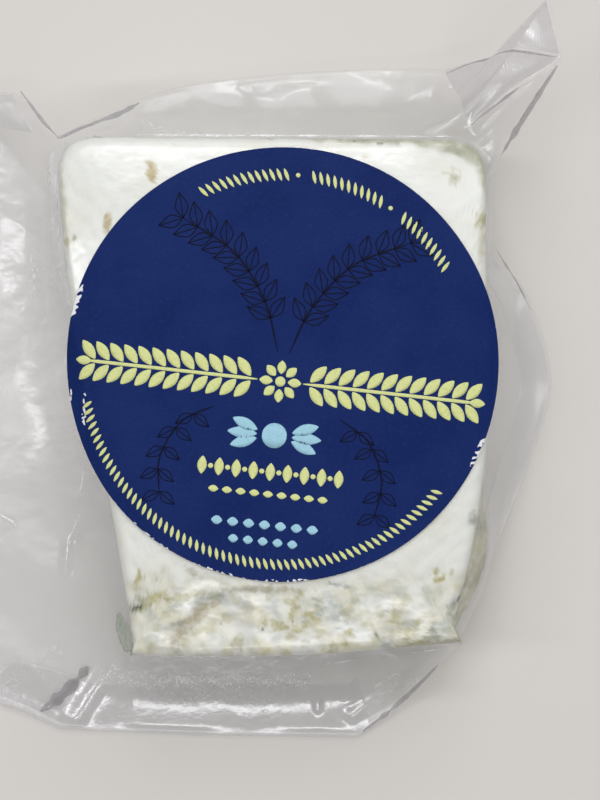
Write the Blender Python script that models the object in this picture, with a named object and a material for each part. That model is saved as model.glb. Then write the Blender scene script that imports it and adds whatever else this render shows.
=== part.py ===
"""A block of soft blue goat cheese in a clear vacuum pouch, with a round paper label.

The block is a truncated wedge lying flat. The pouch clings to its top, sides and underside, and
its two sheets meet in a thin skirt all round: a seam on the right, a stiff corner that stands up
at the top right, a smooth skirt along the top, a folded wing at the top left, the mouth on the
left and a broad seam along the bottom. The label lies on the pouch and overhangs the block's left
and right edges a little. Lengths are in metres, +Z is up, and the layout's own zero is the middle
of the block. The finished pack is moved so that the middle of its footprint is the origin.
"""

import math

import bmesh
import bpy
import numpy as np

# Cheese block
BLOCK_CORNERS = [  # x, y and rounding of each corner of the top face, anticlockwise
    (0.0376, 0.0474, 0.0060),
    (0.0378, -0.0160, 0.0150),
    (0.0312, -0.0422, 0.0030),
    (0.0040, -0.0458, 0.0300),
    (-0.0249, -0.0444, 0.0025),
    (-0.0288, -0.0190, 0.0200),
    (-0.0370, 0.0210, 0.0120),
    (-0.0390, 0.0478, 0.0075),
]
EDGE_HEIGHT = 0.0250
MIDDLE_HEIGHT = 0.0270
CROWN_POWER = 4
TOP_ROUNDING = 0.0025
BASE_ROUNDING = 0.0015
SIDE_LEAN = 0.0008
CUT_SIDE_LEAN = 0.0030
CUT_SIDE_BEARING = math.radians(-42.0)
CUT_SIDE_SPREAD = math.radians(13.0)

# Dents and bumps on the broken end of the block, and its worn corner: x, y, reach and height
CURD_RELIEF = [
    (-0.0101, -0.0377, 0.0050, -0.0016),
    (-0.0122, -0.0421, 0.0030, 0.0010),
    (-0.0061, -0.0335, 0.0040, 0.0006),
    (0.0045, -0.0413, 0.0050, 0.0006),
    (0.0221, -0.0405, 0.0040, -0.0008),
    (-0.0262, -0.0356, 0.0025, -0.0014),
    (0.0370, 0.0468, 0.0065, -0.0028),
]

# Pouch: where its two sheets meet, as x, y and height above the table of the edge
SKIRT_THICKNESS = 0.0008
SHOULDER_HEIGHT = 0.0180
CORNER_SHOULDER_HEIGHT = 0.0235
SKIRT_REACH = 0.0050
STRAIGHT_FALL = 1.0
RIGHT_SEAM = [
    (0.0327, -0.0452, 0.0120), (0.0378, -0.0356, 0.0110), (0.0407, -0.0281, 0.0080),
    (0.0467, -0.0137, 0.0055), (0.0513, 0.0001, 0.0050), (0.0515, 0.0080, 0.0052),
    (0.0482, 0.0181, 0.0065), (0.0454, 0.0232, 0.0080), (0.0403, 0.0292, 0.0100),
    (0.0404, 0.0440, 0.0140),
]
RAISED_CORNER = [
    (0.0404, 0.0440, 0.0140), (0.0503, 0.0610, 0.0270), (0.0483, 0.0722, 0.0240),
    (0.0393, 0.0637, 0.0140), (0.0316, 0.0626, 0.0080),
]
TOP_SKIRT = [
    (0.0316, 0.0626, 0.0080), (0.0233, 0.0632, 0.0060), (0.0045, 0.0629, 0.0040),
    (-0.0097, 0.0615, 0.0040), (-0.0209, 0.0591, 0.0060), (-0.0328, 0.0540, 0.0080),
    (-0.0404, 0.0498, 0.0100),
]
WING = [
    (-0.0404, 0.0498, 0.0100), (-0.0472, 0.0581, 0.0090), (-0.0598, 0.0596, 0.0040),
    (-0.0614, 0.0429, 0.0020),
]
MOUTH = [
    (-0.0614, 0.0429, 0.0020), (-0.0612, 0.0144, 0.0006), (-0.0612, -0.0219, 0.0006),
    (-0.0616, -0.0544, 0.0006),
]
BOTTOM_SEAM = [
    (-0.0616, -0.0544, 0.0006), (-0.0490, -0.0586, 0.0006), (-0.0413, -0.0620, 0.0006),
    (-0.0146, -0.0632, 0.0006), (0.0156, -0.0635, 0.0010), (0.0235, -0.0571, 0.0030),
    (0.0306, -0.0487, 0.0080), (0.0327, -0.0452, 0.0120),
]
OUTLINE_SPACING = 0.0036

# Where the pouch's rings lie, as shares of the way across each surface or round each rounding
TOP_SHARES = (0.12, 0.26, 0.40, 0.53, 0.65, 0.75, 0.84, 0.92, 1.0)
TOP_ROUNDING_SHARES = (0.35, 0.7, 1.0)
SKIRT_SHARES = (0.08, 0.18, 0.32, 0.50, 0.74, 1.0)
UNDERSIDE_SHARES = (1.0, 0.68, 0.40, 0.18)
BASE_ROUNDING_SHARES = (0.0, 0.5, 1.0)
FOOT_BELOW_RIM = 0.0005

# Label
LABEL_MIDDLE = (0.0014, 0.0073)
LABEL_RADIUS = 0.0381
LABEL_THICKNESS = 0.0004
LABEL_LIFT = 0.0003
LABEL_OVERHANG_FALL = 0.30
LABEL_SIDES = 84
LABEL_RINGS = 8

# Colours
FILM_OVER_CHEESE_COLOUR = (0.72, 0.70, 0.60, 1.0)
LABEL_COLOUR = (0.012, 0.023, 0.105, 1.0)


def make_material(name, colour, roughness):
    """A Principled material of one colour."""
    material = bpy.data.materials.new(name)
    material.use_nodes = True
    shader = material.node_tree.nodes["Principled BSDF"]
    shader.inputs["Base Color"].default_value = colour
    shader.inputs["Roughness"].default_value = roughness
    shader.inputs["Metallic"].default_value = 0.0
    return material


def rounded_outline(corners, steps=8):
    """The closed outline through the corners, each cut by a quadratic curve of its own rounding."""
    points = np.array([corner[:2] for corner in corners])
    outline = []
    for here, (x, y, rounding) in enumerate(corners):
        corner = np.array((x, y))
        back = points[here - 1] - corner
        ahead = points[(here + 1) % len(points)] - corner
        start = corner + back / np.linalg.norm(back) * rounding
        end = corner + ahead / np.linalg.norm(ahead) * rounding
        for t in np.linspace(0.0, 1.0, steps):
            outline.append((1 - t) ** 2 * start + 2 * t * (1 - t) * corner + t ** 2 * end)
    return np.array(outline)


BLOCK_OUTLINE = rounded_outline(BLOCK_CORNERS)[::-1]


def block_radius(bearing):
    """Distance from the block's middle to its top edge, along each bearing in radians."""
    start = BLOCK_OUTLINE
    side = np.roll(BLOCK_OUTLINE, -1, axis=0) - start
    ray = np.stack((np.cos(bearing), np.sin(bearing)), axis=-1)[..., None, :]
    across = ray[..., 0] * side[:, 1] - ray[..., 1] * side[:, 0]
    across = np.where(np.abs(across) < 1e-12, 1e-12, across)
    distance = (start[:, 0] * side[:, 1] - start[:, 1] * side[:, 0]) / across
    along = (start[:, 0] * ray[..., 1] - start[:, 1] * ray[..., 0]) / across
    hit = (distance > 0) & (along >= -1e-9) & (along <= 1 + 1e-9)
    return np.where(hit, distance, 0.0).max(axis=-1)


def side_lean(bearing):
    """How far the side stands out below the top edge; most on the cut side at the lower right."""
    offset = np.angle(np.exp(1j * (bearing - CUT_SIDE_BEARING)))
    return SIDE_LEAN + CUT_SIDE_LEAN * np.exp(-(offset / CUT_SIDE_SPREAD) ** 2)


def crown_height(x, y):
    """Height of the smooth crowned top: the middle height, less a fourth-power fall to the edge."""
    bearing = np.arctan2(y, x)
    share = np.hypot(x, y) / block_radius(bearing)
    return MIDDLE_HEIGHT - (MIDDLE_HEIGHT - EDGE_HEIGHT) * share ** CROWN_POWER


def curd_relief(x, y):
    """Dents and bumps: a sum of bell shapes."""
    height = np.zeros_like(x)
    for middle_x, middle_y, reach, amount in CURD_RELIEF:
        distance = np.hypot(x - middle_x, y - middle_y)
        height += amount * np.exp(-(distance / reach) ** 2)
    return height


def spaced_points(controls, smooth):
    """Points about OUTLINE_SPACING apart along the controls, without the last one.

    A smooth run is a Catmull-Rom curve, and any other run is straight between its controls.
    """
    controls = np.array(controls)
    before = np.vstack((2 * controls[0] - controls[1], controls[:-2]))
    after = np.vstack((controls[2:], 2 * controls[-1] - controls[-2]))
    points = []
    for p0, p1, p2, p3 in zip(before, controls[:-1], controls[1:], after):
        count = max(2, round(np.linalg.norm(p2 - p1) / OUTLINE_SPACING))
        for t in np.arange(count) / count:
            if smooth:
                points.append(0.5 * (2 * p1 + (p2 - p0) * t + (2 * p0 - 5 * p1 + 4 * p2 - p3) * t ** 2
                                     + (3 * p1 - p0 - 3 * p2 + p3) * t ** 3))
            else:
                points.append(p1 + (p2 - p1) * t)
    return np.array(points)


def bearing_of(point):
    """Bearing of a point of the layout from the block's middle, from 0 to a full turn."""
    return math.atan2(point[1], point[0]) % math.tau


def pouch_outline():
    """The pouch's edge, with the bearing on the block that each point hangs from.

    Along a plain run the sheet hangs radially. The raised corner and the wing are gathered: their
    points share out the bearings between the ends of the run evenly. The last two columns are the
    height at which the film leaves the block and the power of its fall from there to the edge.
    """
    runs = [
        (RIGHT_SEAM, True, False, SHOULDER_HEIGHT),
        (RAISED_CORNER, False, True, CORNER_SHOULDER_HEIGHT),
        (TOP_SKIRT, True, False, SHOULDER_HEIGHT),
        (WING, False, True, SHOULDER_HEIGHT),
        (MOUTH, True, False, SHOULDER_HEIGHT),
        (BOTTOM_SEAM, False, False, SHOULDER_HEIGHT),
    ]
    columns = []
    for controls, smooth, gathered, shoulder in runs:
        points = spaced_points(controls, smooth)
        if gathered:
            step = np.linalg.norm(np.diff(points, axis=0, append=[controls[-1]]), axis=1)
            share = np.concatenate(([0.0], np.cumsum(step)[:-1])) / step.sum()
            bearing = bearing_of(controls[0]) + share * (bearing_of(controls[-1]) - bearing_of(controls[0]))
        else:
            bearing = np.arctan2(points[:, 1], points[:, 0])
        reach = np.linalg.norm(points[:, :2], axis=1) - block_radius(bearing)
        fall = np.maximum(STRAIGHT_FALL, reach / SKIRT_REACH)
        if shoulder > SHOULDER_HEIGHT:
            fall = np.full(len(points), STRAIGHT_FALL)
        columns.append(np.column_stack((points, bearing, np.full(len(points), shoulder), fall)))
    outline = np.vstack(columns)
    for column in (4, 5):
        for _ in range(3):
            values = outline[:, column]
            outline[:, column] = (np.roll(values, 1) + 2 * values + np.roll(values, -1)) / 4
    return outline


def pouch_rings():
    """Closed rings from near the middle of the top, over the edge, to near the middle of the base."""
    outline = pouch_outline()
    edge_x, edge_y, edge_z, bearing, shoulder, fall = outline.T
    aim_x, aim_y = np.cos(bearing), np.sin(bearing)
    top_radius = block_radius(bearing)
    foot_radius = top_radius + side_lean(bearing)
    rings = []
    flat_radius = top_radius - TOP_ROUNDING
    for share in TOP_SHARES:
        x, y = aim_x * flat_radius * share, aim_y * flat_radius * share
        rings.append(np.column_stack((x, y, crown_height(x, y) + curd_relief(x, y))))
    rim = rings[-1][:, 2]
    for share in TOP_ROUNDING_SHARES:
        angle = share * math.pi / 2
        radius = flat_radius + TOP_ROUNDING * math.sin(angle)
        height = rim - TOP_ROUNDING * (1 - math.cos(angle))
        rings.append(np.column_stack((aim_x * radius, aim_y * radius, height)))
    foot_x, foot_y = aim_x * foot_radius, aim_y * foot_radius
    leave = np.minimum(shoulder, rim - TOP_ROUNDING - FOOT_BELOW_RIM)
    rings.append(np.column_stack((foot_x, foot_y, leave)))
    half = SKIRT_THICKNESS / 2
    for share in SKIRT_SHARES:
        drop = (1 - share) ** fall
        height = edge_z + half + (leave - edge_z - half) * drop
        x = foot_x + (edge_x - foot_x) * share
        y = foot_y + (edge_y - foot_y) * share
        rings.append(np.column_stack((x, y, height)))
    for share in UNDERSIDE_SHARES:
        rise = 1 - (1 - share) ** 2
        height = BASE_ROUNDING + (edge_z - half - BASE_ROUNDING) * rise
        x = foot_x + (edge_x - foot_x) * share
        y = foot_y + (edge_y - foot_y) * share
        rings.append(np.column_stack((x, y, height)))
    for share in BASE_ROUNDING_SHARES:
        angle = share * math.pi / 2
        radius = foot_radius - BASE_ROUNDING * (1 - math.cos(angle))
        height = BASE_ROUNDING * (1 - math.sin(angle))
        rings.append(np.column_stack((aim_x * radius, aim_y * radius, np.full(len(bearing), height))))
    return rings


def label_rings():
    """Closed rings of the label: out along its printed face and back along its glued face."""
    bearing = np.arange(LABEL_SIDES) * math.tau / LABEL_SIDES
    rings = []
    printed = [(share, LABEL_THICKNESS) for share in np.arange(1, LABEL_RINGS + 1) / LABEL_RINGS]
    glued = [(share, 0.0) for share, _ in reversed(printed)]
    for share, rise in printed + glued:
        x = LABEL_MIDDLE[0] + LABEL_RADIUS * share * np.cos(bearing)
        y = LABEL_MIDDLE[1] + LABEL_RADIUS * share * np.sin(bearing)
        overhang = np.maximum(0.0, np.hypot(x, y) - block_radius(np.arctan2(y, x)))
        height = crown_height(x, y) - LABEL_OVERHANG_FALL * overhang + LABEL_LIFT + rise
        rings.append(np.column_stack((x, y, height)))
    return rings


def skin(name, rings, first_pole, last_pole, shift, material, collection):
    """One closed body: a quad strip between each two rings, and a fan to the pole at each end."""
    count = len(rings[0])
    points = np.vstack(rings + [first_pole, last_pole]) - shift
    faces = []
    for ring in range(len(rings) - 1):
        for here in range(count):
            ahead = (here + 1) % count
            low, high = ring * count, (ring + 1) * count
            faces.append((low + here, high + here, high + ahead, low + ahead))
    last = (len(rings) - 1) * count
    for here in range(count):
        ahead = (here + 1) % count
        faces.append((len(points) - 2, here, ahead))
        faces.append((len(points) - 1, last + ahead, last + here))
    mesh = bpy.data.meshes.new(name)
    mesh.from_pydata(points.tolist(), [], faces)
    shell = bmesh.new()
    shell.from_mesh(mesh)
    bmesh.ops.triangulate(shell, faces=shell.faces[:])
    bmesh.ops.recalc_face_normals(shell, faces=shell.faces[:])
    shell.to_mesh(mesh)
    shell.free()
    mesh.shade_smooth()
    mesh.set_sharp_from_angle(angle=math.radians(40.0))
    mesh.materials.append(material)
    piece = bpy.data.objects.new(name, mesh)
    collection.objects.link(piece)
    return piece


def build():
    """Clears the scene and makes the sealed pouch and its label."""
    for old in list(bpy.data.objects):
        bpy.data.objects.remove(old, do_unlink=True)
    pack = bpy.data.collections.new("vacuum_packed_cheese")
    bpy.context.scene.collection.children.link(pack)
    pouch = pouch_rings()
    every_point = np.vstack(pouch)
    middle = (every_point.min(axis=0) + every_point.max(axis=0)) / 2
    shift = np.array((middle[0], middle[1], 0.0))
    skin("sealed_pouch", pouch, (0.0, 0.0, MIDDLE_HEIGHT), (0.0, 0.0, 0.0), shift,
         make_material("film_over_cheese", FILM_OVER_CHEESE_COLOUR, 0.25), pack)
    label = label_rings()
    x, y = LABEL_MIDDLE
    face = float(crown_height(np.array(x), np.array(y))) + LABEL_LIFT
    skin("round_label", label, (x, y, face + LABEL_THICKNESS), (x, y, face), shift,
         make_material("navy_paper", LABEL_COLOUR, 0.45), pack)


build()
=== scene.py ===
"""Looks of a block of soft blue goat cheese in a clear vacuum pouch with a round paper label.

The layout below has its zero in the middle of the block, with +Y towards the block's wide end.
Everything is worked out in that layout, in metres, and moved to the frame when a mesh is made.
"""

import functools
import math

import bpy
import numpy as np
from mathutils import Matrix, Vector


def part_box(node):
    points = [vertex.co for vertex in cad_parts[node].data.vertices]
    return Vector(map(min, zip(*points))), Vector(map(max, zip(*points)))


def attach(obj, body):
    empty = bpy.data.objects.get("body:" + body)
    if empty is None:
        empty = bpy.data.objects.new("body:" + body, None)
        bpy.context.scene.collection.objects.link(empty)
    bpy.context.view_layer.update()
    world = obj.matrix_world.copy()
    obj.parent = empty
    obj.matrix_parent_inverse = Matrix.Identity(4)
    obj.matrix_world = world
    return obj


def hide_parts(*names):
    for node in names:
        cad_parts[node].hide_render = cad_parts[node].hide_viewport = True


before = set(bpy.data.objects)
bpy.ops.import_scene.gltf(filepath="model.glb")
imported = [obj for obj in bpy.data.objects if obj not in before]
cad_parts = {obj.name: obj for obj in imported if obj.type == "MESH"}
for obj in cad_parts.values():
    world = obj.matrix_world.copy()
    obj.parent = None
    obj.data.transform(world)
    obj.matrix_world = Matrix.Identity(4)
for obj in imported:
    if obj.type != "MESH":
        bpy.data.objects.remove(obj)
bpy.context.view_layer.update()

bl_info = {
    "name": "Vacuum-packed goat cheese",
    "version": (1, 0, 0),
    "blender": (4, 5, 0),
    "location": "3D View > Sidebar > Cheese pack",
    "description": "Builds a block of blue goat cheese in a clear pouch, with its label",
    "category": "Add Mesh",
}

# Cheese block: corners of its top face, each with its rounding, anticlockwise
BLOCK_CORNERS = [
    (0.0376, 0.0474, 0.0060), (0.0378, -0.0160, 0.0150), (0.0312, -0.0422, 0.0030),
    (0.0040, -0.0458, 0.0300), (-0.0249, -0.0444, 0.0025), (-0.0288, -0.0190, 0.0200),
    (-0.0370, 0.0210, 0.0120), (-0.0390, 0.0478, 0.0075),
]
EDGE_HEIGHT = 0.0250
MIDDLE_HEIGHT = 0.0270
CROWN_POWER = 4
TOP_ROUNDING = 0.0025
BASE_ROUNDING = 0.0015
SIDE_LEAN = 0.0008
CUT_SIDE_LEAN = 0.0030
CUT_SIDE_BEARING = math.radians(-38.0)
CUT_SIDE_SPREAD = math.radians(12.0)
CROWN_BLUR = math.radians(7.0)
CURD_RELIEF = [
    (-0.0101, -0.0377, 0.0050, -0.0016), (-0.0122, -0.0421, 0.0030, 0.0010),
    (-0.0061, -0.0335, 0.0040, 0.0006), (0.0045, -0.0413, 0.0050, 0.0006),
    (0.0221, -0.0405, 0.0040, -0.0008), (-0.0262, -0.0356, 0.0025, -0.0014),
    (0.0370, 0.0468, 0.0065, -0.0028),
]

# Pouch: x, y and height of its edge
SHOULDER_HEIGHT = 0.0180
CORNER_SHOULDER_HEIGHT = 0.0235
SKIRT_REACH = 0.0050
FOOT_BELOW_RIM = 0.0005
RIGHT_SEAM = [
    (0.0327, -0.0452, 0.0120), (0.0378, -0.0356, 0.0110), (0.0407, -0.0281, 0.0080),
    (0.0467, -0.0137, 0.0055), (0.0513, 0.0001, 0.0050), (0.0515, 0.0080, 0.0052),
    (0.0482, 0.0181, 0.0065), (0.0454, 0.0232, 0.0080), (0.0403, 0.0292, 0.0100),
    (0.0404, 0.0440, 0.0140),
]
RAISED_CORNER = [
    (0.0404, 0.0440, 0.0140), (0.0503, 0.0610, 0.0270), (0.0483, 0.0722, 0.0240),
    (0.0393, 0.0637, 0.0140), (0.0316, 0.0626, 0.0080),
]
TOP_SKIRT = [
    (0.0316, 0.0626, 0.0080), (0.0233, 0.0632, 0.0060), (0.0045, 0.0629, 0.0040),
    (-0.0097, 0.0615, 0.0040), (-0.0209, 0.0591, 0.0060), (-0.0328, 0.0540, 0.0080),
    (-0.0404, 0.0498, 0.0100),
]
WING = [
    (-0.0404, 0.0498, 0.0100), (-0.0472, 0.0581, 0.0090), (-0.0598, 0.0596, 0.0040),
    (-0.0614, 0.0429, 0.0020),
]
MOUTH = [
    (-0.0614, 0.0429, 0.0020), (-0.0612, 0.0144, 0.0006), (-0.0612, -0.0219, 0.0006),
    (-0.0616, -0.0544, 0.0006),
]
BOTTOM_SEAM = [
    (-0.0616, -0.0544, 0.0006), (-0.0490, -0.0586, 0.0006), (-0.0413, -0.0620, 0.0006),
    (-0.0146, -0.0632, 0.0006), (0.0156, -0.0635, 0.0010), (0.0235, -0.0571, 0.0030),
    (0.0306, -0.0487, 0.0080), (0.0327, -0.0452, 0.0120),
]
TABLE_SPACING = 0.0002
SHOULDER_BLUR = 0.0044
RASTER_CELL = 0.0003

# Folds that stand up from the skirt: points, half width and height
SKIRT_FOLDS = [
    ([(-0.0357, -0.0125), (-0.0374, -0.0180), (-0.0377, -0.0210), (-0.0396, -0.0255), (-0.0402, -0.0320)],
     0.0009, 0.0012),
    ([(-0.0304, -0.0490), (-0.0345, -0.0540), (-0.0385, -0.0600)], 0.0018, 0.0010),
    ([(0.0075, -0.0500), (0.0079, -0.0580)], 0.0008, 0.0004),
    ([(0.0144, -0.0590), (0.0200, -0.0550), (0.0265, -0.0505)], 0.0014, 0.0009),
    ([(-0.0560, 0.0600), (-0.0498, 0.0545), (-0.0440, 0.0505)], 0.0030, 0.0012),
    ([(-0.0415, 0.0458), (-0.0415, 0.0297), (-0.0399, 0.0247), (-0.0367, 0.0171)], 0.0007, 0.0012),
    ([(0.0503, 0.0610), (0.0420, 0.0560), (0.0350, 0.0497), (0.0358, 0.0475)], 0.0007, 0.0009),
    ([(-0.0305, 0.0500), (-0.0262, 0.0535), (-0.0225, 0.0575)], 0.0012, 0.0007),
]
# Knurled patches with painted glints, frosted white dots that stand for the knurl's sparkle: points, half width and
# strength
PAINTED_GLINT_PATCHES = [
    ([(-0.0285, -0.0519), (-0.0100, -0.0521), (0.0052, -0.0516)], 0.0017, 1.0),
    ([(-0.0304, -0.0499), (-0.0345, -0.0545), (-0.0384, -0.0592)], 0.0011, 1.0),
    ([(0.0204, -0.0544), (0.0265, -0.0513)], 0.0007, 0.9),
    ([(0.0144, -0.0593), (0.0197, -0.0557)], 0.0006, 0.8),
    ([(0.0193, -0.0530), (0.0228, -0.0503)], 0.0008, 0.6),
    ([(-0.0524, -0.0540), (-0.0420, -0.0466)], 0.0011, 0.6),
    ([(-0.0230, -0.0555), (-0.0020, -0.0560)], 0.0022, 0.35),
    ([(-0.0418, 0.0262), (-0.0412, 0.0225)], 0.0013, 0.9),
    ([(-0.0460, 0.0285), (-0.0462, 0.0215)], 0.0008, 0.8),
    ([(-0.0240, 0.0525), (-0.0205, 0.0502), (-0.0150, 0.0496)], 0.0006, 0.9),
]

# Label
LABEL_MIDDLE = (0.0014, 0.0073)
LABEL_RADIUS = 0.0381
LABEL_OVERHANG_FALL = 0.30
GLUED_LIFT = 0.00015
PRINTED_LIFT = 0.00035

# Camera and picture
PICTURE_HEIGHT_PX = 800
FOCAL_PX = 1601.6
CAMERA_PLACE = (0.0045, 0.0010, 0.3070)


class CheeseSettings(bpy.types.PropertyGroup):
    """Sizes and colours of the cheese."""

    film_gap: bpy.props.FloatProperty(
        name="Film gap", description="Distance from the film down to the cheese",
        default=0.00022, min=0.00005, unit="LENGTH")
    grain_height: bpy.props.FloatProperty(
        name="Grain height", description="Depth of the fine curd grain",
        default=0.00006, min=0.0, unit="LENGTH")
    paste_colour: bpy.props.FloatVectorProperty(
        name="Paste", description="Main colour of the cheese", subtype="COLOR", size=4,
        default=(0.74, 0.75, 0.71, 1.0))
    cream_colour: bpy.props.FloatVectorProperty(
        name="Cream", description="Creamy patches", subtype="COLOR", size=4,
        default=(0.60, 0.57, 0.42, 1.0))
    olive_colour: bpy.props.FloatVectorProperty(
        name="Olive", description="Yellow-olive veins", subtype="COLOR", size=4,
        default=(0.37, 0.34, 0.12, 1.0))
    blue_colour: bpy.props.FloatVectorProperty(
        name="Blue-grey", description="Blue-grey veins", subtype="COLOR", size=4,
        default=(0.33, 0.38, 0.36, 1.0))
    mould_colour: bpy.props.FloatVectorProperty(
        name="Mould", description="Dark grey-green mould", subtype="COLOR", size=4,
        default=(0.085, 0.105, 0.050, 1.0))
    ochre_colour: bpy.props.FloatVectorProperty(
        name="Ochre", description="Small ochre spots", subtype="COLOR", size=4,
        default=(0.40, 0.31, 0.11, 1.0))
    # Painted shade: this brownish colour darkens the curd's hollows and a band just below the label's edge.
    hollow_shade_colour: bpy.props.FloatVectorProperty(
        name="Hollow", description="Brownish wet hollows", subtype="COLOR", size=4,
        default=(0.34, 0.29, 0.18, 1.0))


class PouchSettings(bpy.types.PropertyGroup):
    """Sizes and finish of the pouch film."""

    sheet_gap: bpy.props.FloatProperty(
        name="Sheet gap", description="Distance between the two sheets at the skirt's edge",
        default=0.00030, min=0.0001, unit="LENGTH")
    wave_height: bpy.props.FloatProperty(
        name="Wave height", description="Height of the soft waves in the skirt",
        default=0.00050, min=0.0, unit="LENGTH")
    knurl_pitch: bpy.props.FloatProperty(
        name="Knurl pitch", description="Distance between the rows of the knurled seams",
        default=0.00060, min=0.0002, unit="LENGTH")
    tint: bpy.props.FloatVectorProperty(
        name="Tint", description="What one sheet lets through", subtype="COLOR", size=4,
        default=(0.984, 0.985, 0.988, 1.0))
    seam_tint: bpy.props.FloatVectorProperty(
        name="Seam tint", description="What one side of a welded strip lets through", subtype="COLOR", size=4,
        default=(0.975, 0.974, 0.975, 1.0))
    gloss: bpy.props.FloatProperty(
        name="Gloss", description="Share of light that one sheet mirrors when seen straight on",
        default=0.045, min=0.0, max=1.0, subtype="FACTOR")
    veil: bpy.props.FloatProperty(
        name="Veil", description="Share of one sheet that scatters light as a faint white veil",
        default=0.03, min=0.0, max=1.0, subtype="FACTOR")
    roughness: bpy.props.FloatProperty(
        name="Roughness", description="Blur of the film's reflection",
        default=0.20, min=0.0, max=1.0, subtype="FACTOR")


class LabelSettings(bpy.types.PropertyGroup):
    """Colours and turn of the label."""

    turn: bpy.props.FloatProperty(
        name="Turn", description="Turn of the print on the pack",
        default=math.radians(-6.3), subtype="ANGLE")
    ink_thickness: bpy.props.FloatProperty(
        name="Ink thickness", description="Height of the print above the paper",
        default=0.00003, min=0.00001, unit="LENGTH")
    paper_colour: bpy.props.FloatVectorProperty(
        name="Navy", description="Printed field", subtype="COLOR", size=4,
        default=(0.0062, 0.0175, 0.1000, 1.0))
    core_colour: bpy.props.FloatVectorProperty(
        name="Paper core", description="White paper at cut and worn edges", subtype="COLOR", size=4,
        default=(0.72, 0.73, 0.76, 1.0))
    yellow_colour: bpy.props.FloatVectorProperty(
        name="Pale yellow", description="Pale yellow ink", subtype="COLOR", size=4,
        default=(0.62, 0.66, 0.29, 1.0))
    blue_colour: bpy.props.FloatVectorProperty(
        name="Light blue", description="Light blue ink", subtype="COLOR", size=4,
        default=(0.32, 0.56, 0.68, 1.0))
    dark_colour: bpy.props.FloatVectorProperty(
        name="Dark line", description="Ink of the fine line drawing", subtype="COLOR", size=4,
        default=(0.0020, 0.0036, 0.0190, 1.0))


class StageSettings(bpy.types.PropertyGroup):
    """Floor and lights."""

    floor_colour: bpy.props.FloatVectorProperty(
        name="Floor", description="Colour of the plain floor", subtype="COLOR", size=4,
        default=(0.62, 0.60, 0.58, 1.0))
    sky_strength: bpy.props.FloatProperty(
        name="Sky strength", description="Strength of the even light from all round",
        default=0.30, min=0.0)
    key_power: bpy.props.FloatProperty(
        name="Key power", description="Power of the large soft light", default=13.0, min=0.0, unit="POWER")
    panel_power: bpy.props.FloatProperty(
        name="Panel power", description="Power of the overhead panel", default=0.9, min=0.0, unit="POWER")
    strip_power: bpy.props.FloatProperty(
        name="Strip power", description="Power of each narrow light", default=1.2, min=0.0, unit="POWER")


# Shapes as formulas


def smooth_step(value):
    """0 below 0, 1 above 1 and a smooth S-curve between."""
    t = np.clip(value, 0.0, 1.0)
    return t * t * (3 - 2 * t)


def waves(x, y, length, seed, stretch=1.0, turn=0.0, count=20):
    """A smooth random field of about unit size.

    It is a sum of plane waves with lengths near the given one, in seeded directions and phases,
    drawn out by the factor stretch along the direction turn.
    """
    rng = np.random.default_rng(seed)
    along = (x * math.cos(turn) + y * math.sin(turn)) / stretch
    across = -x * math.sin(turn) + y * math.cos(turn)
    total = np.zeros_like(x)
    for angle, phase, spread in rng.uniform(0, 1, (count, 3)):
        number = math.tau / length * (0.7 + 0.6 * spread)
        direction = angle * math.tau
        total += np.cos(number * (along * math.cos(direction) + across * math.sin(direction)) + phase * math.tau)
    return total * math.sqrt(2 / count)


def line_distance(x, y, points):
    """Distance in plan from each place to a line of straight pieces."""
    nearest = np.full(x.shape, np.inf)
    for (ax, ay), (bx, by) in zip(points[:-1], points[1:]):
        dx, dy = bx - ax, by - ay
        share = np.clip(((x - ax) * dx + (y - ay) * dy) / (dx * dx + dy * dy), 0, 1)
        nearest = np.minimum(nearest, np.hypot(x - ax - share * dx, y - ay - share * dy))
    return nearest


def rounded_outline(corners, steps=8):
    """The closed outline through the corners, each cut by a quadratic curve of its own rounding."""
    points = np.array([corner[:2] for corner in corners])
    outline = []
    for here, (x, y, rounding) in enumerate(corners):
        corner = np.array((x, y))
        back = points[here - 1] - corner
        ahead = points[(here + 1) % len(points)] - corner
        start = corner + back / np.linalg.norm(back) * rounding
        end = corner + ahead / np.linalg.norm(ahead) * rounding
        for t in np.linspace(0.0, 1.0, steps):
            outline.append((1 - t) ** 2 * start + 2 * t * (1 - t) * corner + t ** 2 * end)
    return np.array(outline)


@functools.cache
def radius_table():
    """Bearings all round and the distance along each from the block's middle to its top edge."""
    bearing = np.linspace(-math.pi, math.pi, 5761)
    start = rounded_outline(BLOCK_CORNERS)[::-1]
    side = np.roll(start, -1, axis=0) - start
    ray_x, ray_y = np.cos(bearing)[:, None], np.sin(bearing)[:, None]
    across = ray_x * side[:, 1] - ray_y * side[:, 0]
    across = np.where(np.abs(across) < 1e-12, 1e-12, across)
    distance = (start[:, 0] * side[:, 1] - start[:, 1] * side[:, 0]) / across
    along = (start[:, 0] * ray_y - start[:, 1] * ray_x) / across
    hit = (distance > 0) & (along >= -1e-9) & (along <= 1 + 1e-9)
    return bearing, np.where(hit, distance, 0.0).max(axis=1)


def block_radius(bearing):
    """Distance from the block's middle to its top edge, along each bearing."""
    wrapped = (bearing + math.pi) % math.tau - math.pi
    return np.interp(wrapped, *radius_table())


def side_lean(bearing):
    """How far the side stands out below the top edge; most on the cut side at the lower right."""
    offset = np.angle(np.exp(1j * (bearing - CUT_SIDE_BEARING)))
    return SIDE_LEAN + CUT_SIDE_LEAN * np.exp(-(offset / CUT_SIDE_SPREAD) ** 2)


@functools.cache
def crown_radius_table():
    """The bearings and distances of radius_table, with the distances blurred along the bearings."""
    bearing, radius = radius_table()
    step = math.tau / (len(bearing) - 1)
    blurred = blur_round(radius[:-1], CROWN_BLUR, step)[:len(bearing) - 1]
    return bearing, np.append(blurred, blurred[0])


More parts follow.
